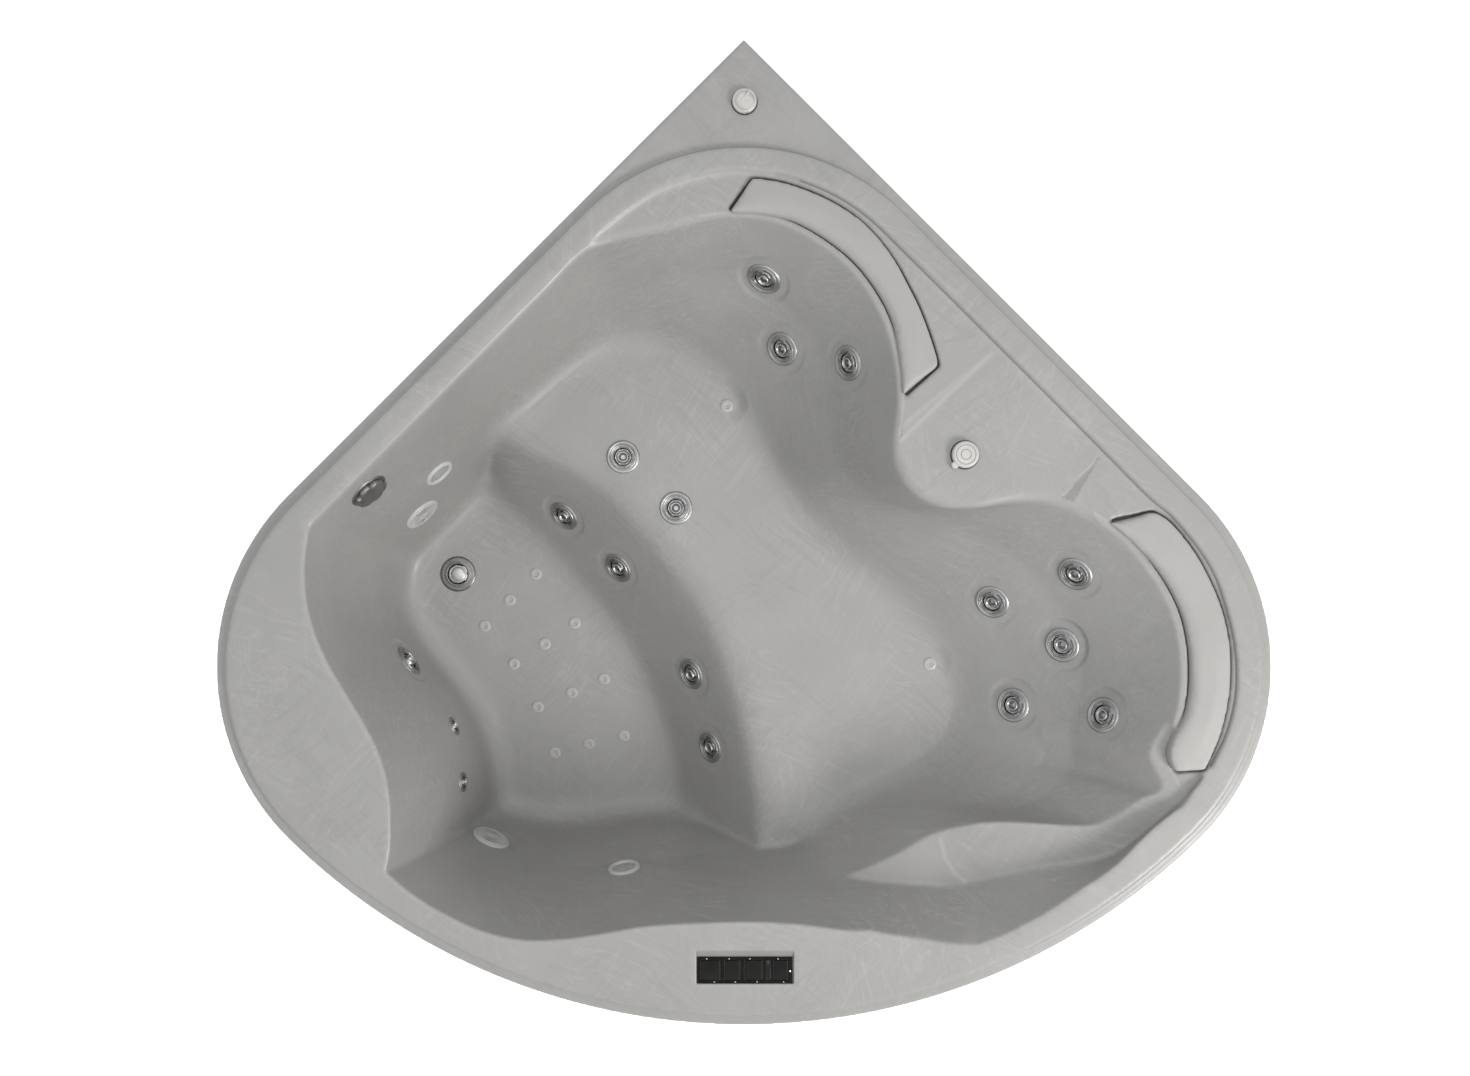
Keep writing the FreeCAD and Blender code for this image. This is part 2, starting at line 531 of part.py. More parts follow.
def rest_face(tag, arc, back, d, z):
    p = offs(arc + back, d) if d else arc + back
    k = len(arc)
    edges = [spline([V(q[0], q[1], z) for q in p[:k]])]
    rest = p[k - 1:] + [p[0]]
    for i in range(len(rest) - 1):
        edges.append(Part.makeLine(V(rest[i][0], rest[i][1], z), V(rest[i + 1][0], rest[i + 1][1], z)))
    return part_feature(tag, Part.Face(Part.Wire(edges)))


def extrude(tag, face, length, lx=None):
    e = doc.addObject("Part::Extrusion", tag)
    e.Base = face
    e.DirMode = "Custom"
    e.Dir = V(0, 0, 1)
    e.LengthFwd = length
    if lx:
        e.setExpression("LengthFwd", lx)
    e.Solid = True
    return e


def lip_prism(tag, d):
    f = part_feature(tag + "_face", Part.Face(wire(offs(ut, d), D["rest_floor"] - 20.0, uci)))
    return extrude(tag, f, 70.0)


rest_tubs, rest_voids = [], []
for tag, arc, back in (("left", REST_A, REST_A_BACK), ("right", REST_B, REST_B_BACK)):
    f = rest_face("rest_tub_face_" + tag, arc, back, 8.5, D["rest_floor"] - 7.0)
    rest_tubs.append(extrude("rest_tub_" + tag, f, 17.0, "dims.deck_under - dims.rest_floor + 8"))
    f = rest_face("rest_void_face_" + tag, arc, back, 1.5, D["rest_floor"])
    e = extrude("rest_well_" + tag, f, 44.0, "600 - dims.rest_floor")
    rest_voids.append(cut("rest_void_" + tag, e, lip_prism("lip_line_" + tag, 3.0)))

mass = fuse("shell_mass", [deck, basin_outer, foot_outer, ramp_outer] + rest_tubs)
hollow = fuse("shell_hollow", [basin_void, foot_void, ramp_void] + rest_voids)
doc.recompute()
shell_open = cut("shell_open", mass, hollow)
doc.recompute()

# ---------------------------------------------------------------- seats for the fittings
jet_places = [seat(p, n) for p, n in JETS]
jet_scale = [D["small_jet_scale"] if i in SMALL else 1.0 for i in range(len(JETS))]


def spool(rr, rh, t):
    p = [V(0, 0, 12), V(rr, 0, 12), V(rr, 0, 0), V(rh, 0, 0), V(rh, 0, -t), V(rr, 0, -t), V(rr, 0, -t - 12), V(0, 0, -t - 12)]
    return Part.Face(Part.makePolygon(p + [p[0]])).revolve(V(0, 0, 0), V(0, 0, 1), 360.0)


def disc(rr, t):
    return Part.makeCylinder(rr, t, V(0, 0, -t))


pads_, drills = [], []
for pl, k in zip(jet_places, jet_scale):
    pads_.append(solid_at(disc(D["jet_seat_r"] * k, 10.0 * k), pl))
    drills.append(solid_at(spool(D["jet_seat_r"] * k, D["jet_hole_r"] * k, 10.0 * k), pl))
for p, n in LIGHTS:
    pads_.append(solid_at(disc(34.0, 10.0), seat(p, n)))
    drills.append(solid_at(spool(34.0, 24.0, 10.0), seat(p, n)))
for p, n in SUCTIONS:
    pads_.append(solid_at(disc(41.0, 10.0), seat(p, n)))
    drills.append(solid_at(spool(41.0, 27.0, 10.0), seat(p, n)))
pads_.append(solid_at(disc(38.5, 10.0), seat(*OVERFLOW)))
drills.append(solid_at(spool(38.5, 21.0, 10.0), seat(*OVERFLOW)))
for x, y in AIR_FLOOR:
    drills.append(Part.makeCylinder(6.0, 30.0, V(x, y, zf - 20.0)))
for x, y in AIR_SEAT:
    drills.append(Part.makeCylinder(6.0, 30.0, V(x, y, zs - 20.0)))
drills.append(Part.makeCylinder(22.0, 30.0, V(DRAIN[0], DRAIN[1], zf - 20.0)))
drills.append(Part.makeCylinder(14.0, 30.0, V(AIR_KNOB[0], AIR_KNOB[1], 555.0)))
drills.append(Part.makeCylinder(14.0, 30.0, V(CORNER_KNOB[0], CORNER_KNOB[1], 555.0)))
STUDS = [(53.0, 567.0), (187.0, 498.0), (286.0, 338.0), (744.0, -58.0), (795.0, -232.0), (775.0, -362.0)]
for x, y in STUDS:
    drills.append(Part.makeCylinder(4.3, 40.0, V(x, y, 535.0)))

seats = part_feature("fitting_seats", Part.makeCompound(pads_))
holes = part_feature("fitting_holes", Part.makeCompound(drills))
shell_seats = fuse("shell_with_seats", [shell_open, seats])
doc.recompute()
shell = cut("tub_shell", shell_seats, holes)
doc.recompute()
node(shell, "tub_shell")

# ---------------------------------------------------------------- jets
fr, ft_, br = D["jet_flange_r"], D["jet_flange_t"], D["jet_barrel_r"]
bb = D["ball_bore_r"]
m_fit = rev("jet_fitting_master", [(17.0, -1.0), (17.0, 2.2), (18.2, ft_), (26.0, ft_), (fr - 2.5, ft_ - 0.6), (fr, 1.4), (fr, 0.0),
                                   (br, 0.0), (br, -26.0), (bb, -26.0), (bb, -1.0)])
rb = D["ball_r"]
zc = -8.0
zt, zb = -1.0, -20.0
rt_ = math.sqrt(rb * rb - (zt - zc) ** 2)
rbm = math.sqrt(rb * rb - (zb - zc) ** 2)
m_noz = rev("jet_nozzle_master", [(5.5, zb), (rbm, zb), (rt_, zt, rb, zc), (12.0, zt), (10.2, 5.2), (9.4, 6.0), (5.5, 6.0)])
m_gas = rev("jet_gasket_master", [(23.3, -11.5), (34.0, -11.5), (34.0, -10.0), (23.3, -10.0)])
m_bod = rev("jet_body_master", [(22.4, -11.5), (34.0, -11.5), (34.0, -14.5), (27.0, -14.5), (27.0, -62.0), (0.0, -62.0), (0.0, -58.0),
                                (15.0, -58.0), (15.0, -32.0), (22.4, -32.0)])
body_solid = m_bod.Shape.Solids[0]
port = Part.makeCylinder(15.0, 24.0, V(20.0, 0, -45.5), V(1, 0, 0)).cut(Part.makeCylinder(12.0, 60.0, V(0, 0, -45.5), V(1, 0, 0)))
airp = Part.makeCylinder(7.0, 20.0, V(-20.0, 0, -26.0), V(-1, 0, 0)).cut(Part.makeCylinder(5.0, 60.0, V(0, 0, -26.0), V(-1, 0, 0)))
jb = body_solid.cut(Part.makeCylinder(12.0, 60.0, V(0, 0, -45.5), V(1, 0, 0))).cut(Part.makeCylinder(5.0, 60.0, V(0, 0, -26.0), V(-1, 0, 0)))
ring = Part.makeCylinder(22.4, 50.0, V(0, 0, -60.0))
jb = jb.fuse([port.cut(ring), airp.cut(ring)]).removeSplitter()
jet_body_full = part_feature("jet_body_with_ports", jb)

node(part_feature("jet_wall_fittings", Part.makeCompound(copies(m_fit, jet_places, jet_scale))), "jet_wall_fittings")
node(part_feature("jet_gaskets", Part.makeCompound(copies(m_gas, jet_places, jet_scale))), "jet_gaskets")
node(part_feature("jet_bodies", Part.makeCompound(copies(jet_body_full, jet_places, jet_scale))), "jet_bodies")
for i, sh in enumerate(copies(m_noz, jet_places, jet_scale)):
    nm = "jet_nozzle_%02d" % (i + 1)
    node(part_feature(nm, sh), nm)

# ---------------------------------------------------------------- air injectors
cr_, ct_ = D["air_cap_r"], D["air_cap_t"]
m_cap = rev("air_cap_master", [(2.0, -12.0), (5.5, -12.0), (5.5, 0.0), (cr_, 0.0), (cr_ - 1.0, 1.2), (5.0, ct_), (2.0, ct_)])
m_inj = rev("air_body_master", [(5.8, -7.0), (14.0, -7.0), (14.0, -10.0), (9.0, -11.0), (9.0, -14.5), (0.0, -14.5), (0.0, -13.0), (5.8, -13.0)])
air_places = [Placement(V(x, y, zf), Rotation()) for x, y in AIR_FLOOR] + [Placement(V(x, y, zs), Rotation()) for x, y in AIR_SEAT]
node(part_feature("air_injector_caps", Part.makeCompound(copies(m_cap, air_places))), "air_injector_caps")
node(part_feature("air_injector_bodies", Part.makeCompound(copies(m_inj, air_places))), "air_injector_bodies")

# ---------------------------------------------------------------- suctions and lights
suc_places = [seat(p, n) for p, n in SUCTIONS]
m_cov = rev("suction_cover_master", [(0.0, 6.0), (26.0, 5.2), (34.0, 3.6), (38.0, 1.2), (38.0, 0.0), (26.6, 0.0), (26.6, -12.0), (24.0, -12.0), (24.0, 1.5), (0.0, 2.6)])
s = add_sketch(m_cov, "slot_line", "XY_Plane", -1.0)
draw_poly(s, [(9.0, -1.5), (22.5, -1.5), (22.5, 1.5), (9.0, 1.5)])
sl = pocket(m_cov, "slot", s, 20.0, up=True)
pp = m_cov.newObject("PartDesign::PolarPattern", "slots")
pp.Originals = [sl]
pp.Axis = (s, ["N_Axis"])
pp.Angle = 360.0
pp.Occurrences = 12
m_cov.Tip = pp
doc.recompute()
node(part_feature("suction_covers", Part.makeCompound(copies(m_cov, suc_places))), "suction_covers")
m_sbd = rev("suction_body_master", [(27.2, -10.0), (40.0, -10.0), (40.0, -13.0), (32.0, -13.0), (32.0, -48.0), (0.0, -48.0), (0.0, -44.0), (27.2, -44.0)])
node(part_feature("suction_bodies", Part.makeCompound(copies(m_sbd, suc_places))), "suction_bodies")

lig_places = [seat(p, n) for p, n in LIGHTS]
m_bez = rev("light_bezel_master", [(21.0, -8.0), (23.6, -8.0), (23.6, 0.0), (D["bezel_r"], 0.0), (D["bezel_r"], 1.5), (28.0, 4.5), (23.0, 4.5), (21.0, 2.5)])
m_len = rev("light_lens_master", [(0.0, -2.0), (D["lens_r"], -2.0), (D["lens_r"], 1.0), (1.0, 3.0, 11.5, 2.5), (0.0, 3.0)])
m_hou = rev("light_housing_master", [(19.0, -8.3), (23.6, -8.3), (23.6, -10.0), (33.0, -10.0), (33.0, -13.0), (23.6, -13.0), (23.6, -40.0), (0.0, -40.0), (0.0, -36.0), (19.0, -36.0)])
node(part_feature("light_bezels", Part.makeCompound(copies(m_bez, lig_places))), "light_bezels")
node(part_feature("light_lenses", Part.makeCompound(copies(m_len, lig_places))), "light_lenses")
node(part_feature("light_housings", Part.makeCompound(copies(m_hou, lig_places))), "light_housings")

# ---------------------------------------------------------------- drain and overflow
dr = D["drain_r"]
dp = Placement(V(DRAIN[0], DRAIN[1], zf), Rotation())
m_fl = rev("drain_flange_turned", [(20.0, 1.0), (21.5, 3.0), (33.0, 3.0), (dr, 1.0), (dr, 0.0), (21.8, 0.0), (21.8, -25.0), (20.0, -25.0)])
spider = Part.makeBox(41.0, 5.0, 6.0, V(-20.5, -2.5, -22.0)).fuse([Part.makeBox(5.0, 41.0, 6.0, V(-2.5, -20.5, -22.0)), Part.makeCylinder(7.0, 6.0, V(0, 0, -22.0))])
spider = spider.common(Part.makeCylinder(20.6, 10.0, V(0, 0, -24.0))).cut(Part.makeCylinder(4.08, 20.0, V(0, 0, -30.0)))
df = part_feature("drain_flange", solid_at(m_fl.Shape.Solids[0].fuse(spider).removeSplitter(), dp))
node(df, "drain_flange")
st = rev("drain_stopper_turned", [(0.0, -22.0), (4.0, -22.0), (4.0, 0.5), (D["stopper_r"], 0.5), (D["stopper_r"], 2.5), (1.0, 5.0, 10.0, 4.4), (0.0, 5.0)])
st.Placement = dp
node(st, "drain_stopper")
shoe = Part.makeCylinder(24.0, 68.0, V(0, 0, -75.0)).fuse(Part.makeCylinder(D["tail_r"], D["tail_len"] + 1.0, V(0, 0, -100.0)))
shoe = shoe.fuse(Part.makeCylinder(34.0, 3.0, V(0, 0, -10.0)))
shoe = shoe.cut(Part.makeCylinder(22.3, 30.0, V(0, 0, -37.0))).cut(Part.makeCylinder(16.0, 120.0, V(0, 0, -110.0)))
side = V(-142.0, 143.6, 0)
side.normalize()
shoe = shoe.cut(Part.makeCylinder(14.0, 40.0, V(0, 0, -57.0), side)).removeSplitter()
node(part_feature("drain_shoe", solid_at(shoe, dp)), "drain_shoe")

op = seat(*OVERFLOW)
m_plate = rev("overflow_plate_turned", [(8.08, 3.0), (30.0, 3.0), (D["overflow_r"], 1.6), (D["overflow_r"], 0.0), (20.6, 0.0), (20.6, -12.0), (17.5, -12.0), (17.5, -1.0), (12.0, -1.0), (12.0, -6.0), (8.08, -6.0)])
m_plate.Placement = op
node(m_plate, "overflow_plate")
kr = D["overflow_knob_r"]
m_knob = rev("overflow_knob_turned", [(0.0, -20.0), (8.0, -20.0), (8.0, 3.5), (kr, 3.5), (kr, 9.5), (kr - 3.0, 12.0), (12.0, 13.0), (0.0, 13.0)])
s = add_sketch(m_knob, "grip_scallop_line", "XY_Plane", 2.0)
draw_circle(s, kr + 5.0, 0.0, 9.0)
gs = pocket(m_knob, "grip_scallop", s, 20.0, up=True)
pp = m_knob.newObject("PartDesign::PolarPattern", "grip_scallops")
pp.Originals = [gs]
pp.Axis = (s, ["N_Axis"])
pp.Angle = 360.0
pp.Occurrences = 6
m_knob.Tip = pp
m_knob.Placement = op
doc.recompute()
node(m_knob, "overflow_knob")


def behind(pl, d):
    p = pl.multVec(V(0, 0, -d))
    return (p.x, p.y, p.z)


ob = behind(op, 40.0)
drop = (ob[0] - 42.0, ob[1] - 42.0)
elbow = solid_at(Part.makeCylinder(34.0, 3.0, V(0, 0, -13.0)).fuse(Part.makeCylinder(24.0, 52.0, V(0, 0, -64.0))), op)
path = [ob, (drop[0], drop[1], ob[2]), (drop[0], drop[1], 48.0), (DRAIN[0], DRAIN[1], 48.0)]
outer = run_pipe(path, 20.0).fuse([elbow])
inner = run_pipe(path, 17.0).fuse([solid_at(Part.makeCylinder(20.8, 52.0, V(0, 0, -61.0)), op)])
ovp = outer.cut(inner).cut(Part.makeCylinder(24.0, 200.0, V(DRAIN[0], DRAIN[1], 0.0)))
ovp = max(ovp.Solids, key=lambda q: q.Volume)
node(part_feature("overflow_pipe", ovp), "overflow_pipe")

# ---------------------------------------------------------------- control panel
kp = doc.addObject("PartDesign::Body", "keypad_housing_body")
s = add_sketch(kp, "plate_line", "XY_Plane", 579.0, "dims.rim_level - 5")
draw_poly(s, [(-80.0, -770.0), (83.0, -770.0), (83.0, -725.7), (-80.0, -725.7)])
pad(kp, "plate", s, 3.0, "dims.pad_plate_t")
s = add_sketch(kp, "tub_line", "XY_Plane", 579.0, "dims.rim_level - 5")
draw_poly(s, [(-77.5, -767.4), (80.5, -767.4), (80.5, -728.2), (-77.5, -728.2)])
pad(kp, "tub", s, 27.0, down=True)
doc.recompute()
KEYS = [(-73.3, -40.9), (-33.2, -6.8), (1.1, 31.6), (51.2, 74.5)]
KY = -747.8
s = add_sketch(kp, "window_lines", "XY_Plane", 568.0)
for x0, x1 in KEYS:
    draw_poly(s, [(x0 - 0.6, KY - 17.6), (x1 + 0.6, KY - 17.6), (x1 + 0.6, KY + 17.6), (x0 - 0.6, KY + 17.6)])
pocket(kp, "windows", s, 30.0, up=True)
s = add_sketch(kp, "display_line", "XY_Plane", 581.0)
draw_poly(s, [(36.9, KY - 17.3), (46.2, KY - 17.3), (46.2, KY + 17.3), (36.9, KY + 17.3)])
draw_circle(s, 78.9, -749.2, 1.4)
pocket(kp, "display_slot", s, 10.0, up=True)
sockets = []
for x0, x1 in KEYS:
    sockets.append(cyl("socket", 1.58, x1 - x0 + 4.6, (x0 - 2.3, KY, 574.0), (1, 0, 0)))
sock = fuse("sockets", sockets)
doc.recompute()
hous = cut("keypad_housing", kp, sock)
doc.recompute()
node(hous, "keypad_housing")
for i, (x0, x1) in enumerate(KEYS):
    nm = "keypad_rocker_%d" % (i + 1)
    top = box(nm + "_cap", (x0, KY - 16.6, 578.2), (x1, KY + 16.6, 582.6), Width="dims.key_len", Height="dims.key_t")
    rib = box(nm + "_rib", (x0 + 1.0, KY - 2.5, 572.6), (x1 - 1.0, KY + 2.5, 579.0))
    pin = cyl(nm + "_pin", 1.5, x1 - x0 + 4.2, (x0 - 2.1, KY, 574.0), (1, 0, 0))
    node(fuse(nm, [top, rib, pin]), nm)
disp = part_feature("keypad_display", Part.makeCompound([
    Part.makeBox(9.1, 34.4, 1.3, V(37.0, KY - 17.2, 581.0)), Part.makeCylinder(1.3, 1.4, V(78.9, -749.2, 581.0))]))
node(disp, "keypad_display")

# ---------------------------------------------------------------- deck knobs
ar, at_ = D["air_knob_r"], D["air_knob_t"]
ak = rev("air_control_knob", [(0.0, -30.0), (6.0, -30.0), (6.0, 1.4), (ar, 1.4), (ar, 6.0), (ar - 3.2, at_ + 0.4, ar - 0.6, 11.6), (0.0, at_ + 1.4)])
s = add_sketch(ak, "thumb_nub_line", "XY_Plane", 1.4)
draw_circle(s, -17.9, -17.9, 6.5)
pad(ak, "thumb_nub", s, 10.0)
ak.Placement = Placement(V(AIR_KNOB[0], AIR_KNOB[1], D["deck_level"]), Rotation())
doc.recompute()
node(ak, "air_control_knob")
av = rev("air_control_valve", [(6.08, 1.0), (25.0, 1.0), (25.0, 0.0), (13.6, 0.0), (13.6, -12.0), (22.0, -12.0), (22.0, -70.0), (0.0, -70.0), (0.0, -66.0), (6.08, -66.0)])
av.Placement = Placement(V(AIR_KNOB[0], AIR_KNOB[1], D["deck_level"]), Rotation())
node(av, "air_control_valve")
cr2, ct2 = D["corner_knob_r"], D["corner_knob_t"]
ck = rev("corner_diverter_knob", [(0.0, -30.0), (6.0, -30.0), (6.0, 1.4), (cr2, 1.4), (cr2, 7.0), (cr2 - 3.0, ct2, cr2 - 0.6, ct2 - 1.4), (0.0, ct2 + 1.0)])
ck.Placement = Placement(V(CORNER_KNOB[0], CORNER_KNOB[1], D["flange_level"]), Rotation())
node(ck, "corner_diverter_knob")
cv = rev("corner_diverter_valve", [(6.08, 1.0), (22.5, 1.0), (22.5, 0.0), (13.6, 0.0), (13.6, -7.0), (22.0, -7.0), (22.0, -65.0), (0.0, -65.0), (0.0, -61.0), (6.08, -61.0)])
cv.Placement = Placement(V(CORNER_KNOB[0], CORNER_KNOB[1], D["flange_level"]), Rotation())
node(cv, "corner_diverter_valve")

# ---------------------------------------------------------------- head rests
for tag, arc, back in (("left", REST_A, REST_A_BACK), ("right", REST_B, REST_B_BACK)):
    f = rest_face("rest_face_" + tag, arc, back, 0.0, D["rest_floor"] + D["rest_gap"])
    e = extrude("rest_block_" + tag, f, 31.7, "dims.rest_top - dims.rest_floor - dims.rest_gap")
    node(cut("headrest_pillow_" + tag, e, lip_prism("pillow_line_" + tag, 4.2)), "headrest_pillow_" + tag)
m_stud = rev("pillow_stud_master", [(0.0, -14.0), (4.0, -14.0), (4.0, -10.0), (11.0, -10.0), (11.0, -7.0), (4.0, -7.0), (4.0, 0.0), (0.0, 0.0)])
node(part_feature("pillow_studs", Part.makeCompound(copies(m_stud, [Placement(V(x, y, D["rest_floor"]), Rotation()) for x, y in STUDS]))), "pillow_studs")

# ---------------------------------------------------------------- frame
RAILS = [((-850.0, -220.0), (877.0, -180.0)), ((-600.0, -540.0), (600.0, -500.0)), ((-480.0, 280.0), (480.0, 320.0)),
         ((-300.0, -780.0), (300.0, -740.0)), ((-20.0, -779.0), (20.0, 700.0))]
UPRIGHTS = [(-833.0, -200.0), (862.0, -200.0), (0.0, 680.0), (-250.0, -760.0), (250.0, -760.0)]
FEET = [(-810.0, -200.0), (-400.0, -200.0), (400.0, -200.0), (810.0, -200.0), (-560.0, -520.0), (560.0, -520.0),
        (-200.0, -760.0), (200.0, -760.0), (-440.0, 300.0), (440.0, 300.0), (0.0, 640.0)]
z0, z1 = D["rail_foot"], D["rail_foot"] + D["rail"]
wl = D["rail_wall"]
solid_rails, voids = [], []
for i, (a, b) in enumerate(RAILS):
    solid_rails.append(box("rail_%d" % (i + 1), (a[0], a[1], z0), (b[0], b[1], z1), Height="dims.rail"))
    long_x = (b[0] - a[0]) > (b[1] - a[1])
    if long_x:
        voids.append(Part.makeBox(b[0] - a[0] + 2, b[1] - a[1] - 2 * wl, z1 - z0 - 2 * wl, V(a[0] - 1, a[1] + wl, z0 + wl)))
    else:
        voids.append(Part.makeBox(b[0] - a[0] - 2 * wl, b[1] - a[1] + 2, z1 - z0 - 2 * wl, V(a[0] + wl, a[1] - 1, z0 + wl)))
for i, (x, y) in enumerate(UPRIGHTS):
    h = 15.0
    solid_rails.append(box("upright_%d" % (i + 1), (x - h, y - h, z1 - 1.0), (x + h, y + h, D["deck_under"]), Length="dims.upright", Width="dims.upright"))
    voids.append(Part.makeBox(30.0 - 2 * wl, 30.0 - 2 * wl, D["deck_under"] - z1 - 2.0, V(x - h + wl, y - h + wl, z1 + 3.0)))
for x, y in FEET:
    voids.append(Part.makeCylinder(6.05, 6.0, V(x, y, z0 - 1.0)))
fr_solid = fuse("frame_solid", solid_rails)
fr_void = part_feature("frame_void", voids[0].multiFuse(voids[1:]))
doc.recompute()
node(cut("support_frame", fr_solid, fr_void), "support_frame")

board = doc.addObject("PartDesign::Body", "base_board")
s = add_sketch(board, "board_outline", "XY_Plane", D["board_foot"], "dims.board_foot")
draw_poly(s, [(-650.0, -60.0), (-500.0, 100.0), (-150.0, 420.0), (-150.0, 600.0), (210.0, 600.0), (640.0, 170.0), (640.0, -300.0),
              (420.0, -560.0), (-480.0, -560.0), (-600.0, -340.0), (-670.0, -240.0), (-675.0, -120.0)])
pad(board, "panel", s, 18.0, "dims.board_t")
doc.recompute()
TRAY = [(-445.0, -45.0), (-505.0, -100.0), (-572.0, -172.0), (-572.0, -205.0), (-500.0, -292.0), (-456.0, -372.0), (-424.0, -472.0),
        (-395.0, -492.0), (-245.0, -458.0), (-207.0, -440.0), (-207.0, -395.0), (-253.0, -290.0), (-315.0, -170.0), (-415.0, -45.0)]
s = add_sketch(board, "channel_window_line", "XY_Plane", 70.0)
draw_poly(s, offs(TRAY, 2.0))
pocket(board, "channel_window", s, 40.0, up=True)
s = add_sketch(board, "drain_hole_line", "XY_Plane", 70.0)
draw_circle(s, DRAIN[0], DRAIN[1], 50.0)
draw_circle(s, 380.0, 150.0, 20.0)
pocket(board, "service_holes", s, 40.0, up=True)
doc.recompute()
node(board, "base_board")

m_foot = rev("foot_master", [(0.0, 0.0), (D["foot_r"], 0.0), (D["foot_r"], 4.0), (14.0, D["foot_t"]), (D["stud_r"], D["foot_t"]),
                             (D["stud_r"], 70.0), (0.0, 70.0)])
foot_places = [Placement(V(x, y, 0), Rotation()) for x, y in FEET]
node(part_feature("levelling_feet", Part.makeCompound(copies(m_foot, foot_places))), "levelling_feet")
nut = doc.addObject("PartDesign::Body", "nut_master")
s = add_sketch(nut, "hex_line", "XY_Plane", 32.0)
ra = D["nut_af"] / math.sqrt(3.0)
draw_poly(s, [(ra * math.cos(math.radians(60 * k)), ra * math.sin(math.radians(60 * k))) for k in range(6)])
draw_circle(s, 0.0, 0.0, 6.05)
pad(nut, "hex", s, 8.0, "dims.nut_t")
doc.recompute()
node(part_feature("foot_locknuts", Part.makeCompound(copies(nut, foot_places))), "foot_locknuts")

# ---------------------------------------------------------------- pump
PC = (250.0, 60.0, 173.0)
vx0 = 222.0
vol_b = cyl("volute_drum", 70.0, 64.0, (vx0, PC[1], PC[2]), (1, 0, 0), "dims.volute_r", "dims.volute_w")
vol_i = cyl("volute_inlet", 26.0, 34.0, (vx0 - 32.0, PC[1], PC[2]), (1, 0, 0))
vol_o = cyl("volute_outlet", 26.0, 140.0, (PC[0] + 2.0, PC[1] + 40.0, PC[2]), (0, 0, 1))
vol_f = box("volute_foot", (vx0 + 8.0, PC[1] - 45.0, 98.0), (vx0 + 56.0, PC[1] + 45.0, 125.0))
vol_s = fuse("volute_solid", [vol_b, vol_i, vol_o, vol_f])
cv_b = cyl("volute_chamber", 60.0, 52.0, (vx0 + 6.0, PC[1], PC[2]), (1, 0, 0))
cv_i = cyl("volute_inlet_bore", 22.0, 60.0, (vx0 - 40.0, PC[1], PC[2]), (1, 0, 0))
cv_o = cyl("volute_outlet_bore", 22.0, 150.0, (PC[0] + 2.0, PC[1] + 40.0, PC[2]), (0, 0, 1))
cv_s = cyl("volute_shaft_bore", 8.6, 40.0, (vx0 + 40.0, PC[1], PC[2]), (1, 0, 0))
vol_v = fuse("volute_void", [cv_b, cv_i, cv_o, cv_s])
node(cut("pump_volute", vol_s, vol_v), "pump_volute")

mx0 = vx0 + 64.0
mot = rev("motor_turned", [(8.08, 0.0), (40.0, 0.0), (40.0, 12.0), (60.0, 18.0), (68.0, 24.0), (68.0, 60.0), (65.0, 62.0), (65.0, 190.0), (68.0, 192.0),
                           (68.0, 236.0), (62.0, 250.0), (0.0, 250.0), (0.0, 40.0), (8.08, 40.0)])
mot.Placement = Placement(V(mx0, PC[1], PC[2]), Rotation(V(0, 0, 1), V(1, 0, 0)))
mf = box("motor_foot", (mx0 + 70.0, PC[1] - 55.0, 98.0), (mx0 + 180.0, PC[1] + 55.0, 128.0))
mb = box("motor_terminal_box", (mx0 + 90.0, PC[1] - 30.0, PC[2] + 50.0), (mx0 + 160.0, PC[1] + 30.0, PC[2] + 92.0))
fins = []
for k in range(14):
    a = math.radians(-52.0 + k * 22.0)
    if abs(math.cos(a)) < 0.5 and math.sin(a) > 0:
        continue
    f = doc.addObject("Part::Box", "fin_%d" % k)
    f.Length, f.Width, f.Height = 126.0, 3.0, 8.0
    f.Placement = Placement(V(mx0 + 63.0, PC[1] + 62.5 * math.cos(a) - 0.0, PC[2] + 62.5 * math.sin(a)), Rotation(V(1, 0, 0), math.degrees(a) - 90.0)).multiply(Placement(V(0, -1.5, 0), Rotation()))
    fins.append(f)
node(fuse("pump_motor", [mot, mf, mb] + fins), "pump_motor")

imp_b = rev("impeller_turned", [(0.0, -6.0), (14.0, -6.0), (14.0, 10.0), (54.0, 10.0), (54.0, 14.0), (14.0, 14.0), (8.0, 14.0), (8.0, 72.0), (0.0, 72.0)])
imp_b.Placement = Placement(V(vx0 + 26.0, PC[1], PC[2]), Rotation(V(0, 0, 1), V(1, 0, 0)))
blades = [imp_b]
for k in range(6):
    b = doc.addObject("Part::Box", "vane_%d" % k)
    b.Length, b.Width, b.Height = 14.0, 3.0, 41.0
    b.Placement = Placement(V(vx0 + 23.0, PC[1], PC[2]), Rotation(V(1, 0, 0), 60.0 * k)).multiply(Placement(V(0, -1.5, 12.0), Rotation()))
    blades.append(b)
node(fuse("pump_impeller", blades), "pump_impeller")

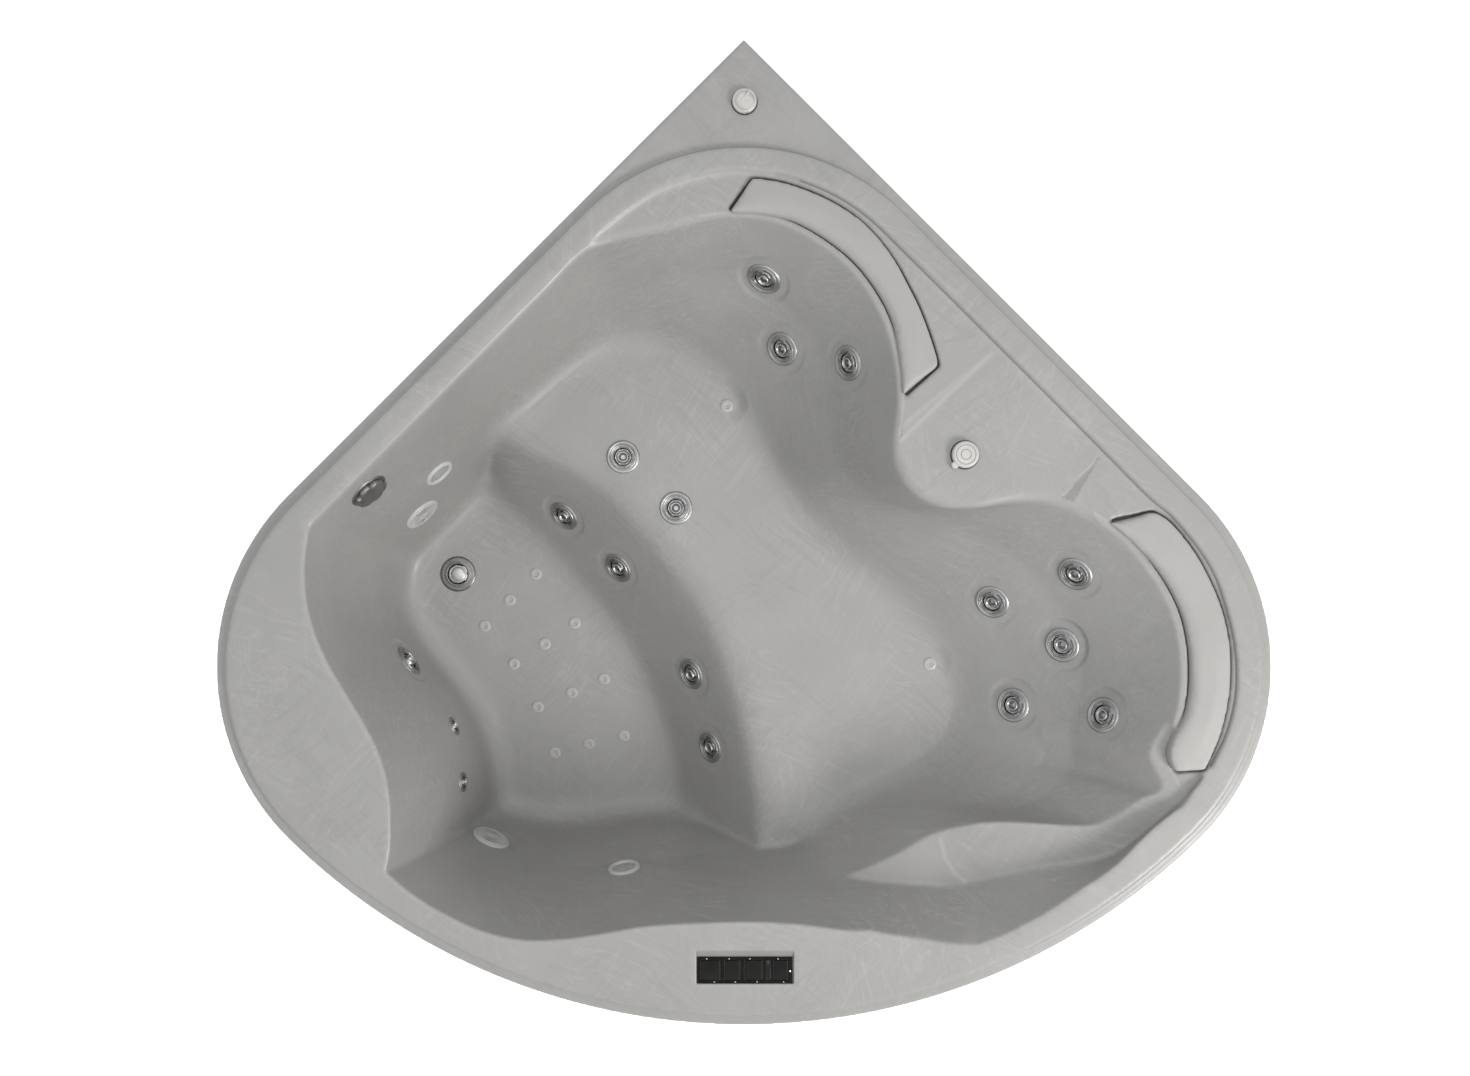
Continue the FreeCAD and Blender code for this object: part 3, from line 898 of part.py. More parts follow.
# ---------------------------------------------------------------- blower
BC = (430.0, 290.0)
blo = rev("blower_turned", [(4.08, 55.0), (62.0, 55.0), (62.0, 8.0), (30.0, 8.0), (30.0, 4.0), (22.0, 4.0), (22.0, 0.0), (70.0, 0.0), (70.0, 60.0), (66.0, 64.0), (40.0, 66.0),
                            (40.0, 90.0), (34.0, 95.0), (0.0, 95.0), (0.0, 86.0), (4.08, 86.0)])
blo.Placement = Placement(V(BC[0], BC[1], 98.0), Rotation())
bo = cyl("blower_outlet", 18.0, 70.0, (380.0, BC[1] - 30.0, 129.0), (0, -1, 0))
bol = fuse("blower_solid", [blo, bo])
doc.recompute()
bv = cyl("blower_outlet_bore", 15.0, 80.0, (380.0, BC[1] - 22.0, 129.0), (0, -1, 0))
bc_ = part_feature("blower_chamber", Part.makeCylinder(62.0, 47.0, V(BC[0], BC[1], 106.0)))
bvv = fuse("blower_void", [bv, bc_])
node(cut("blower_housing", bol, bvv), "blower_housing")
fan_b = rev("fan_turned", [(0.0, 14.0), (56.0, 14.0), (56.0, 17.0), (10.0, 17.0), (10.0, 48.0), (4.0, 48.0), (4.0, 80.0), (0.0, 80.0)])
fan_b.Placement = Placement(V(BC[0], BC[1], 98.0), Rotation())
bl = [fan_b]
for k in range(10):
    b = doc.addObject("Part::Box", "fan_blade_%d" % k)
    b.Length, b.Width, b.Height = 26.0, 2.5, 28.0
    b.Placement = Placement(V(BC[0], BC[1], 98.0), Rotation(V(0, 0, 1), 36.0 * k)).multiply(Placement(V(29.0, -1.25, 16.0), Rotation()))
    bl.append(b)
node(fuse("blower_fan", bl), "blower_fan")

# ---------------------------------------------------------------- air channel and pipes
tray = Part.Face(Part.makePolygon([V(p[0], p[1], 80.0) for p in TRAY + [TRAY[0]]])).extrude(V(0, 0, D["channel_t"]))
tin = offs(TRAY, -3.0)
tray = tray.cut(Part.Face(Part.makePolygon([V(p[0], p[1], 83.0) for p in tin + [tin[0]]])).extrude(V(0, 0, 20.0)))
SP = (-300.0, -330.0)
tray = tray.cut(Part.makeCylinder(13.0, 20.0, V(SP[0], SP[1], 75.0)))
tray = tray.fuse(Part.makeCylinder(20.0, 12.0, V(SP[0], SP[1], 68.0)).cut(Part.makeCylinder(16.1, 12.0, V(SP[0], SP[1], 67.0))).cut(Part.makeCylinder(13.0, 20.0, V(SP[0], SP[1], 66.0)))).removeSplitter()
node(part_feature("air_channel", tray), "air_channel")
AP = [(380.0, 189.9, 129.0), (380.0, 150.0, 129.0), (380.0, 150.0, 22.0), (SP[0], SP[1], 22.0), (SP[0], SP[1], 78.9)]
air = run_pipe(AP, D["air_pipe_r"], 40.0).cut(run_pipe(AP, D["air_pipe_r"] - 3.0, 40.0))
node(part_feature("air_pipework", air), "air_pipework")

s1b, s2b = behind(suc_places[0], 48.0), behind(suc_places[1], 48.0)
a1, e2 = behind(suc_places[0], 80.0), behind(suc_places[1], 84.0)
SUC1 = [s1b, a1, (a1[0] + 30.0, a1[1] + 96.0, 150.0), (-430.0, 304.0, 150.0), (-120.0, 304.0, 150.0),
        (60.0, 150.0, 150.0), (140.0, 60.0, 173.0), (189.9, 60.0, 173.0)]
SUC2 = [s2b, e2, (e2[0] + 52.0, e2[1] + 4.0, 150.0), (-60.0, -668.0, 150.0), (120.0, -540.0, 150.0), (140.0, -200.0, 150.0),
        (140.0, 60.0, 173.0)]
wr = D["water_pipe_r"]
wo = run_pipe(SUC1, wr).fuse([run_pipe(SUC2, wr)])
wi = run_pipe(SUC1, wr - 3.0).fuse([run_pipe(SUC2, wr - 3.0)])
suction = wo.cut(wi)
PR = [(252.0, 100.0, 313.1), (252.0, 100.0, 345.0), (300.0, 190.0, 345.0), (262.0, 330.0, 345.0), (120.0, 470.0, 345.0)]
PR2 = [(252.0, 100.0, 345.0), (330.0, 40.0, 345.0), (520.0, 20.0, 345.0), (690.0, -120.0, 345.0), (700.0, -330.0, 345.0)]
po = run_pipe(PR, 20.0).fuse([run_pipe(PR2, 20.0), end_cap(PR[-1], PR[-2], 22.0), end_cap(PR2[-1], PR2[-2], 22.0)])
pi_ = run_pipe(PR, 17.0).fuse([run_pipe(PR2, 17.0)])
press = po.cut(pi_)
node(part_feature("water_pipework", Part.makeCompound([max(suction.Solids, key=lambda q: q.Volume), max(press.Solids, key=lambda q: q.Volume)])), "water_pipework")

cb = box("control_box_case", (-60.0, 470.0, 98.0), (180.0, 590.0, 188.0), Length="dims.box_long", Width="dims.box_deep", Height="dims.box_high")
lid = box("control_box_lid", (-64.0, 466.0, 188.0), (184.0, 594.0, 196.0))
g1 = cyl("gland_1", 11.0, 14.0, (0.0, 470.0, 140.0), (0, -1, 0))
g2 = cyl("gland_2", 11.0, 14.0, (60.0, 470.0, 140.0), (0, -1, 0))
g3 = cyl("gland_3", 11.0, 14.0, (120.0, 470.0, 140.0), (0, -1, 0))
node(fuse("control_box", [cb, lid, g1, g2, g3]), "control_box")
doc.recompute()

# ---------------------------------------------------------------- checks and files
for o in doc.Objects:
    st_ = list(o.State)
    if "Invalid" in st_ or "Error" in st_:
        raise RuntimeError("%s: %s" % (o.Name, st_))
os.makedirs("parts", exist_ok=True)
for name, o in NODES:
    sh = o.Shape
    if sh.isNull() or not sh.isValid() or not sh.Solids:
        raise RuntimeError("bad shape: " + name)
    print(name, len(sh.Solids), round(sh.Volume))
for name, o in NODES:
    o.Shape.exportStep("parts/" + name + ".step")
print("nodes", len(NODES))
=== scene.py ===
import bpy
import bmesh
import math
import json
import numpy as np
from mathutils import Vector, Matrix


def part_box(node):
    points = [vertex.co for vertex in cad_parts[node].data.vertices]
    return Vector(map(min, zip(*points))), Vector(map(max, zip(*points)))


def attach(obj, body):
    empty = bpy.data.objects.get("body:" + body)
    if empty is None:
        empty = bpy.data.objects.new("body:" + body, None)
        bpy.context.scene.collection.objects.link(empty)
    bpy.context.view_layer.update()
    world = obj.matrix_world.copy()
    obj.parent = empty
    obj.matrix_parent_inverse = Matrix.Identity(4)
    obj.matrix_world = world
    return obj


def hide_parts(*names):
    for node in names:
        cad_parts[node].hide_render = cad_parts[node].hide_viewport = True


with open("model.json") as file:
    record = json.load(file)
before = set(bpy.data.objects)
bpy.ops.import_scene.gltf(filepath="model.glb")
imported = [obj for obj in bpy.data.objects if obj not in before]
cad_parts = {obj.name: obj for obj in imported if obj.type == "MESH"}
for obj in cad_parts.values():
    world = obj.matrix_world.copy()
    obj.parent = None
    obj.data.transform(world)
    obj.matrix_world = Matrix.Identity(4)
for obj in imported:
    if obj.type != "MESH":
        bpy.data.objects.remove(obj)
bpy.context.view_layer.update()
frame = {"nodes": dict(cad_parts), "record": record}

# ------------------------------------------------------------------ outlines in plan, millimetres
BASIN = [
    (-739.8, 13.6, -696.3, -18.9, 50, 1), (-683.2, 70.2, -641.1, 36.3, 50, 0), (-626.7, 126.7, -586.0, 91.5, 50, 0),
    (-570.1, 183.2, -530.8, 146.7, 50, 0), (-513.6, 239.8, -475.6, 201.9, 50, 0), (-467, 286.4, -430, 246, 50, 0),
    (-407.4, 346, -372, 298, 50, 0), (-339.2, 414.2, -305, 348, 50, 0), (-271.0, 482.5, -248, 376, 47, 0),
    (-207.9, 504.6, -205, 383, 44, 0), (-139.7, 518.3, -168, 381, 41, 0), (-75.0, 537.0, -140, 371, 41, 0),
    (-6.8, 543.8, -111, 356, 41, 0), (61.4, 533.6, -83, 337, 41, 0), (129.6, 499.5, -60, 316, 41, 0),
    (191.0, 448.4, -40, 294, 41, 0), (238.7, 376.8, -20, 267, 41, 0), (262.6, 301.8, -1, 239, 41, 0),
    (269.4, 221.6, 16, 208, 41, 0), (262.6, 153.5, 33, 178, 41, 0), (272.8, 98.9, 48, 148, 41, 0),
    (305.2, 58.0, 63, 119, 41, 0), (359.7, 35.8, 80, 90, 41, 0), (419.4, 39.2, 110, 48, 41, 0),
    (479.1, 52.9, 160, -14, 41, 0), (538.7, 52.9, 220, -66, 41, 0), (598.4, 29.0, 281, -108, 41, 0),
    (652.9, -10.2, 331, -157, 41, 0), (705.8, -75.0, 369, -208, 41, 0), (741.6, -144.9, 393, -250, 41, 0),
    (755.2, -226.7, 405, -290, 41, 0), (748.4, -306.8, 408, -328, 41, 0), (722.8, -380.1, 403, -360, 41, 0),
    (746.6, -443.8, 392, -388, 41, 0), (719.7, -466.3, 374, -412, 41, 0), (694.6, -494.3, 352, -432, 41, 0),
    (666.6, -518.2, 327, -449, 41, 0), (624.4, -522.2, 300, -465, 41, 0), (586.4, -518.4, 274, -480, 41, 0),
    (525.1, -515.5, 247, -495, 41, 0), (477.3, -520.3, 218, -512, 44, 0), (413.9, -546.6, 186, -531, 47, 0),
    (347.4, -610, 156, -552, 50, 0), (225, -677, 126, -577, 50, 0), (95.5, -669.1, 95, -600, 50, 0),
    (27.3, -664.8, 45, -608, 50, 0), (-40.9, -665.7, 10, -608.5, 50, 0), (-109.1, -668.2, -30, -610, 50, 0),
    (-177.2, -673.3, -75, -614, 50, 0), (-245.4, -685.3, -140, -621, 50, 0), (-313.6, -694.6, -210, -630, 50, 0),
    (-381.8, -695.5, -280, -638, 50, 0), (-450.0, -680.1, -350, -640, 50, 0), (-518.2, -647.8, -420, -630, 50, 0),
    (-569.3, -615.4, -480, -612, 50, 0), (-611.9, -579.6, -548.6, -576.6, 50, 1),
    (-605.1, -543.8, -546.6, -547.4, 50, 0), (-603.4, -508.0, -547.8, -515.3, 50, 0),
    (-605.1, -456.8, -552.2, -467.8, 50, 0), (-611.9, -414.2, -560.5, -426.9, 50, 0),
    (-627.3, -368.2, -576.0, -381.4, 50, 0), (-651.2, -322.2, -602.9, -333.0, 50, 0),
    (-680.1, -274.4, -638.1, -283.4, 50, 0), (-709.1, -225.0, -673.4, -233.9, 50, 0),
    (-733.0, -170.4, -700.9, -182.3, 50, 0), (-746.6, -115.9, -713.8, -130.8, 50, 0),
    (-750.0, -64.8, -713.9, -83.0, 50, 0), (-746.6, -22.1, -708.8, -45.0, 50, 0),
]
FOOTWELL = [
    (-696.3, -18.9, -668.0, -40.0, 1), (-623.5, 54.0, -623.6, 4.4, 0), (-550.6, 126.8, -579.2, 48.7, 0),
    (-475.6, 201.9, -533.5, 94.4, 1), (-429.0, 166.8, -501.2, 70.4, 0), (-352.1, 139.9, -466.0, 39.4, 0),
    (-275.1, 95.6, -418.5, -8.1, 0), (-198.1, 22.5, -360.6, -72.2, 0), (-136.5, -52.5, -302.7, -138.4, 0),
    (-86.5, -119.9, -259.3, -196.3, 0), (-53.8, -179.5, -224.1, -258.3, 0), (-23.0, -258.4, -191.0, -324.5, 0),
    (-1.8, -322.0, -168.3, -382.4, 0), (15.5, -398.9, -149.7, -438.2, 0), (30.9, -485.5, -135.2, -494.0, 0),
    (34.7, -552.9, -127.0, -541.6, 0), (32.8, -608.2, -124.9, -574.7, 1), (2, -608.7, -174.5, -576.7, 0),
    (-40, -611, -222.1, -580.9, 0), (-90, -615.5, -267.5, -587.1, 0), (-150, -622, -311.0, -593.3, 0),
    (-215, -630.5, -352.3, -597.4, 0), (-285, -638, -389.5, -597.4, 0), (-352, -640, -424.7, -593.3, 0),
    (-420, -630, -459.8, -587.1, 0), (-480, -612, -486.7, -580.9, 0), (-548.6, -576.6, -507.4, -574.7, 1),
    (-546.6, -547.4, -508.4, -549.8, 0), (-547.8, -515.3, -511.5, -520.1, 0), (-552.2, -467.8, -517.7, -475.0, 0),
    (-560.5, -426.9, -527.0, -435.1, 0), (-576.0, -381.4, -542.5, -390.0, 0), (-602.9, -333.0, -571.5, -340.0, 0),
    (-638.1, -283.4, -610.8, -289.3, 0), (-673.4, -233.9, -650.1, -239.7, 0), (-700.9, -182.3, -680.0, -190.1, 0),
    (-713.8, -130.8, -692.4, -140.5, 0), (-713.9, -83.0, -690.4, -95.0, 0), (-708.8, -45.0, -684.2, -59.8, 0),
]
RAMP = [
    (785.9, -414.2, 781.3, -424.8), (768.9, -436.4, 765.7, -444.5), (743.3, -467.1, 742.2, -473.3),
    (709.2, -494.3, 713.6, -500.8), (675.1, -525.0, 683.3, -532.0), (641.0, -560.8, 650.9, -556.4),
    (606.9, -588.1, 621.5, -570.3), (572.8, -610.3, 588.5, -579.0), (538.7, -634.1, 555.2, -585.2),
    (504.6, -656.3, 521.9, -591.3), (470.5, -674.2, 488.2, -600.2), (436.4, -690.4, 454.4, -609.2),
    (397.2, -704.9, 420.3, -618.3), (351.2, -701.5, 368.8, -631.9), (291.5, -692.1, 316.7, -632.9),
    (234.0, -684.0, 246.5, -631.0), (200.0, -674.0, 160.0, -622.0),
]
RAMP_BACK = [(95.5, -456.8), (266.0, -286.4), (521.7, -184.1), (692.2, -252.3)]
DECK_LINE = [
    (-262.5, 492.7), (-245.4, 508.9), (-211.3, 537.0), (-177.2, 561.7), (-143.2, 581.3), (-109.1, 595.0),
    (-75.0, 605.2), (-40.9, 612.0), (-6.8, 614.6), (27.3, 611.2), (61.4, 609.2), (95.5, 599.7), (129.6, 586.7),
    (163.7, 569.7), (197.8, 547.5), (231.9, 518.6), (266.0, 485.0), (351.2, 400.6), (436.4, 315.4), (521.7, 230.2),
    (606.9, 144.1), (692.2, 58.0), (726.2, 30.3), (756.9, -4.5), (780.8, -35.6), (803.5, -75.0), (819.6, -119.3),
    (833.2, -170.4), (839.8, -218.2), (839.8, -269.3), (833.2, -310.2), (819.9, -352.8), (797.4, -398.9),
]
DECK_BACK = [(740.0, -411.0), (600.0, -400.0), (300.0, -200.0), (0.0, 100.0), (-200.0, 400.0)]
REST_A = [
    (13.7, 605.2), (44.4, 602.6), (78.5, 595.0), (112.6, 583.0), (146.6, 567.7), (180.7, 547.2), (211.4, 521.7),
    (238.7, 491.0), (262.6, 456.9), (283.0, 419.4), (300.1, 385.3), (315.4, 346.1), (327.3, 310.3), (334.2, 284.7),
]
REST_A_BACK = [(233.8, 195.0), (170.0, 240.0), (120.0, 330.0), (40.0, 430.0), (-40.0, 462.0), (-70.0, 491.5)]
REST_B = [
    (700.7, 35.8), (726.2, 20.5), (753.5, -10.2), (777.4, -44.3), (799.5, -86.9), (816.6, -129.5), (826.8, -170.4),
    (831.9, -211.4), (831.9, -252.3), (826.8, -296.6), (816.6, -339.2), (803.0, -375.0), (787.6, -407.4),
]
REST_B_BACK = [(640.0, -424.4), (600.0, -300.0), (600.0, -150.0), (559.0, 4.2)]
JETS = [
    ((36.8, 454.9, 464.0), (-0.3948, -0.7167, 0.5748)), ((71.5, 338.8, 396.8), (-0.5404, -0.3811, 0.7502)),
    ((185.6, 301.0, 487.1), (-0.7568, -0.2266, 0.6131)), ((462.6, -129.2, 379.6), (-0.4551, -0.3580, 0.8153)),
    ((588.7, -74.1, 489.5), (-0.5542, -0.4543, 0.6975)), ((581.6, -205.5, 424.6), (-0.5374, -0.1594, 0.8281)),
    ((504.8, -322.7, 364.5), (-0.5872, 0.0873, 0.8047)), ((641.7, -326.2, 477.5), (-0.7099, 0.2271, 0.6667)),
    ((-230.8, 145.7, 294.0), (0, 0, 1)), ((-128.8, 47.5, 294.0), (0, 0, 1)),
    ((-358.7, 34.0, 183.1), (-0.4964, -0.5452, 0.6755)), ((-249.5, -70.2, 192.1), (-0.5495, -0.4592, 0.6979)),
    ((-102.8, -280.8, 207.8), (-0.6686, -0.2716, 0.6923)), ((-65.2, -427.4, 199.3), (-0.7258, -0.1694, 0.6668)),
    ((-655.5, -251.8, 242.0), (0.8080, 0.5827, 0.0872)), ((-568.0, -380.0, 237.7), (0.8947, 0.4246, 0.1385)),
    ((-544.8, -485.2, 264.4), (0.9785, 0.1047, 0.1778)),
]
SMALL = (15, 16)
AIR_FLOOR = [
    (-426.8, -84.6), (-480.5, -138.4), (-532.2, -192.1), (-346.1, -185.9), (-408.1, -229.4), (-472.2, -270.7),
    (-286.2, -301.7), (-352.3, -330.7), (-422.6, -359.6), (-244.8, -419.6), (-317.2, -436.1), (-387.5, -454.7),
]
AIR_SEAT = [(-30.7, 243.8), (360.0, -252.7)]
LIGHTS = [((-575.6, 112.8, 335.7), (0.6953, -0.6953, 0.1820)), ((-226.3, -637.4, 325.2), (-0.1203, 0.9757, 0.1834))]
SUCTIONS = [((-628.6, 36.8, 247.9), (0.6953, -0.6953, 0.1822)), ((-493.8, -598.5, 245.8), (0.4144, 0.9008, 0.1298))]
OVERFLOW = ((-660.6, 73.4, 510.0), (0.6953, -0.6953, 0.1820))
DRAIN = (-588.0, -84.6)
AIR_KNOB = (377.6, 132.1)
CORNER_KNOB = (1.0, 736.9)
KEYS = [(-73.3, -40.9), (-33.2, -6.8), (1.1, 31.6), (51.2, 74.5)]
KEY_Y = -747.8
PAD = (-81.3, -770.6, 84.9, -714.3)
CREASE = [(423.7, 307.0), (271.6, 184.7), (268.6, 157.9)]
FACET = [(608.0, 128.7), (543.5, 58.4), (564.0, 52.6)]
NOSE = [(349.7, -547.9), (358.6, -583.5), (376.4, -610.2), (394.2, -622.7)]
ZR, ZD, ZFL, ZS, ZQ, ZF, ZREST = 584.0, 577.0, 572.0, 294.0, 439.0, 105.0, 556.0
FINE = 3.2
COARSE = 7.0
WALL = 9.0


# ------------------------------------------------------------------ small helpers
def unit(v):
    v = np.asarray(v, float)
    return v / np.linalg.norm(v)


def frame_at(p, n):
    n = unit(n)
    h = math.hypot(n[0], n[1])
    x = np.array((1.0, 0.0, 0.0)) if h < 0.05 else np.array((-n[1] / h, n[0] / h, 0.0))
    y = np.cross(n, x)
    return np.array(p, float), np.stack([x, y, n], axis=1)


def dense(rows, corners, idx, sub):
    n = len(rows)
    out = []
    for a in range(len(corners)):
        i0 = corners[a]
        i1 = corners[(a + 1) % len(corners)]
        if i1 <= i0:
            i1 += n
        pts = [(rows[j % n][idx], rows[j % n][idx + 1]) for j in range(i0, i1 + 1)]
        out += open_curve(pts, sub)[:-1]
    return np.array(out)


def open_curve(pts, sub):
    out = []
    for j in range(len(pts) - 1):
        p1, p2 = pts[j], pts[j + 1]
        p0 = pts[j - 1] if j > 0 else tuple(2 * a - b for a, b in zip(p1, p2))
        p3 = pts[j + 2] if j + 2 < len(pts) else tuple(2 * a - b for a, b in zip(p2, p1))
        for q in range(sub):
            t = q / float(sub)
            t2, t3 = t * t, t * t * t
            out.append(tuple(0.5 * (2 * b + (-a + c) * t + (2 * a - 5 * b + 4 * c - d) * t2 + (-a + 3 * b - 3 * c + d) * t3)
                             for a, b, c, d in zip(p0, p1, p2, p3)))
    out.append(tuple(pts[-1]))
    return out


def offset(pts, d):
    p = np.asarray(pts, float)
    area = np.sum(p[:, 0] * np.roll(p[:, 1], -1) - np.roll(p[:, 0], -1) * p[:, 1])
    sg = 1.0 if area > 0 else -1.0
    a, c = np.roll(p, 1, 0), np.roll(p, -1, 0)
    u1, u2 = p - a, c - p
    u1 /= np.linalg.norm(u1, axis=1)[:, None]
    u2 /= np.linalg.norm(u2, axis=1)[:, None]
    n1 = sg * np.stack([u1[:, 1], -u1[:, 0]], 1)
    n2 = sg * np.stack([u2[:, 1], -u2[:, 0]], 1)
    m = n1 + n2
    k = np.sum(m * m, 1)
    s = np.where(k > 0.2, 2.0 * d / np.maximum(k, 1e-6), d)
    return p + m * s[:, None]


def with_z(p, z):
    p = np.asarray(p, float)
    return np.concatenate([p, np.full((len(p), 1), float(z)) if np.isscalar(z) else np.asarray(z).reshape(-1, 1)], 1)


def new_object(name, verts, faces, scale=0.001):
    me = bpy.data.meshes.new(name)
    me.from_pydata([tuple(v) for v in (np.asarray(verts) * scale)], [], faces)
    me.update()
    ob = bpy.data.objects.new(name, me)
    bpy.context.scene.collection.objects.link(ob)
    return ob


def stack_mesh(name, rings):
    # closed solid through rings of equal length, lowest ring first
    n = len(rings[0])
    area = np.sum(rings[0][:, 0] * np.roll(rings[0][:, 1], -1) - np.roll(rings[0][:, 0], -1) * rings[0][:, 1])
    if area < 0:
        rings = [r[::-1] for r in rings]
    verts = np.concatenate(rings)
    faces = [list(range(n))[::-1], [len(rings) * n - n + i for i in range(n)]]
    for k in range(len(rings) - 1):
        for i in range(n):
            j = (i + 1) % n
            faces.append([k * n + i, k * n + j, (k + 1) * n + j, (k + 1) * n + i])
    return new_object(name, verts, faces)


def boolean(ob, other, op):
    m = ob.modifiers.new("b", "BOOLEAN")
    m.operation = op
    m.solver = "MANIFOLD"
    m.object = other
    apply_all(ob)
    me = other.data
    bpy.data.objects.remove(other)
    bpy.data.meshes.remove(me)


def apply_all(ob):
    dg = bpy.context.evaluated_depsgraph_get()
    dg.update()
    me = bpy.data.meshes.new_from_object(ob.evaluated_get(dg), preserve_all_data_layers=True, depsgraph=dg)
    old = ob.data
    ob.modifiers.clear()
    ob.data = me
    bpy.data.meshes.remove(old)


def arrays(me):
    co = np.empty(len(me.vertices) * 3, np.float32)
    me.vertices.foreach_get("co", co)
    ls = np.empty(len(me.polygons), np.int32)
    me.polygons.foreach_get("loop_total", ls)
    li = np.empty(len(me.loops), np.int32)
    me.loops.foreach_get("vertex_index", li)
    ed = np.empty(len(me.edges) * 2, np.int32)
    me.edges.foreach_get("vertices", ed)
    return co.reshape(-1, 3).astype(float) * 1000.0, ls, li, ed.reshape(-1, 2)


def mesh_from_arrays(name, co, ls, li):
    me = bpy.data.meshes.new(name)
    me.vertices.add(len(co))
    me.vertices.foreach_set("co", (co * 0.001).astype(np.float32).ravel())
    me.loops.add(len(li))
    me.loops.foreach_set("vertex_index", li.astype(np.int32))
    me.polygons.add(len(ls))
    st = np.concatenate([[0], np.cumsum(ls)[:-1]]).astype(np.int32)
    me.polygons.foreach_set("loop_start", st)
    me.update(calc_edges=True)
    me.validate()
    ob = bpy.data.objects.new(name, me)
    bpy.context.scene.collection.objects.link(ob)
    return ob


def keep_faces(co, ls, li, keep):
    fid = np.repeat(np.arange(len(ls)), ls)
    li2 = li[keep[fid]]
    ls2 = ls[keep]
    used = np.zeros(len(co), bool)
    used[li2] = True
    new = np.cumsum(used) - 1
    return co[used], ls2, new[li2]


def face_centres(co, ls, li):
    fid = np.repeat(np.arange(len(ls)), ls)
    return np.stack([np.bincount(fid, co[li, k], len(ls)) / ls for k in range(3)], 1)


def face_normals(co, ls, li):
    st = np.concatenate([[0], np.cumsum(ls)[:-1]])
    a, b, c = co[li[st]], co[li[st + 1]], co[li[st + 2]]
    d = co[li[st + ls - 1]]
    n = np.cross(c - a, d - b) + np.cross(b - a, c - a)
    return n / np.maximum(np.linalg.norm(n, axis=1)[:, None], 1e-9)


def relax(co, ed, weight, rounds):
    # weighted averaging with the neighbours, over the vertices whose weight matters
    act = weight > 0.01
    sel = act[ed[:, 0]] | act[ed[:, 1]]
    e = ed[sel]
    used = np.unique(e)
    idx = np.full(len(co), -1)
    idx[used] = np.arange(len(used))
    a, b = idx[e[:, 0]], idx[e[:, 1]]
    p = co[used].copy()
    w = weight[used][:, None]
    n = len(used)
    deg = np.maximum(np.bincount(a, minlength=n) + np.bincount(b, minlength=n), 1)[:, None]
    full = np.bincount(ed[:, 0], minlength=len(co)) + np.bincount(ed[:, 1], minlength=len(co))
    w = np.where((deg[:, 0] < full[used])[:, None], 0.0, w)
    for _ in range(rounds):
        s = np.stack([np.bincount(a, p[b, k], n) + np.bincount(b, p[a, k], n) for k in range(3)], 1)
        p += w * (s / deg - p)
    co[used] = p
    return co


def smooth_step(x, lo, hi):
    t = np.clip((x - lo) / (hi - lo), 0.0, 1.0)
    return t * t * (3 - 2 * t)


def inside_poly(x, y, poly):
    p = np.asarray(poly, float)
    res = np.zeros(len(x), bool)
    j = len(p) - 1
    for i in range(len(p)):
        c = (p[i, 1] > y) != (p[j, 1] > y)
        with np.errstate(divide="ignore", invalid="ignore"):
            xx = (p[j, 0] - p[i, 0]) * (y - p[i, 1]) / (p[j, 1] - p[i, 1]) + p[i, 0]
        res ^= c & (x < xx)
        j = i
    return res


def dist_line(x, y, line, closed=False):
    p = np.asarray(line, float)
    q = np.roll(p, -1, 0) if closed else p[1:]
    p = p if closed else p[:-1]
    best = np.full(len(x), 1e9)
    for a, b in zip(p, q):
        d = b - a
        t = np.clip(((x - a[0]) * d[0] + (y - a[1]) * d[1]) / max(d @ d, 1e-9), 0, 1)
        best = np.minimum(best, np.hypot(x - a[0] - t * d[0], y - a[1] - t * d[1]))
    return best


# ------------------------------------------------------------------ footprint
def outline(inset, raised=False):
    k = 1.0 / math.sqrt(2.0)
    r, rf = 415.0 - inset, 1117.0 - inset
    cx, cy, fy = 490.4, -231.3, 271.0
    a0, a1 = math.radians(45.0), math.atan2(cy - fy, cx)
    right = [(cx + r * math.cos(a0 + (a1 - a0) * i / 28.0), cy + r * math.sin(a0 + (a1 - a0) * i / 28.0)) for i in range(29)]
    f0 = a1
    front = [(rf * math.cos(f0 + (-math.pi - 2 * f0) * i / 60.0), fy + rf * math.sin(f0 + (-math.pi - 2 * f0) * i / 60.0)) for i in range(1, 60)]
    left = [(-x, y) for x, y in right[::-1]]
    if raised:
        ra, c = 385.6, 272.4
        top = [(ra * math.cos(math.radians(135 - 90 * i / 30.0)), c + ra * math.sin(math.radians(135 - 90 * i / 30.0))) for i in range(31)]
    else:
        top = [(0.0, 846.0 - inset * math.sqrt(2.0))]
    return np.array(top + right + front + left)


def ramp_drop(x, y):
    return 12.0 - 0.2025 * (x - 777.0) - 0.0635 * (y + 423.0)


uc = [i for i, r in enumerate(BASIN) if r[5]]
fc = [i for i, r in enumerate(FOOTWELL) if r[4]]
SUB = 6
UT = dense(BASIN, uc, 0, SUB)
UM = dense(BASIN, uc, 2, SUB)
q = []
for i in range(len(BASIN)):
    a, b = BASIN[i][4] / 100.0, BASIN[(i + 1) % len(BASIN)][4] / 100.0
    q += [a + (b - a) * j / SUB for j in range(SUB)]
UQ = UT + (UM - UT) * np.array(q)[:, None]
FM = dense(FOOTWELL, fc, 0, SUB)
FB = dense(FOOTWELL, fc, 2, SUB)
S1 = np.array([(r[0], r[1]) for r in RAMP] + RAMP_BACK)
S2 = np.array([(r[2], r[3]) for r in RAMP] + RAMP_BACK)
S1 = np.array(open_curve([tuple(p) for p in S1[:13]], 4)[:-1] + open_curve([tuple(p) for p in S1[12:17]], 4) + RAMP_BACK)
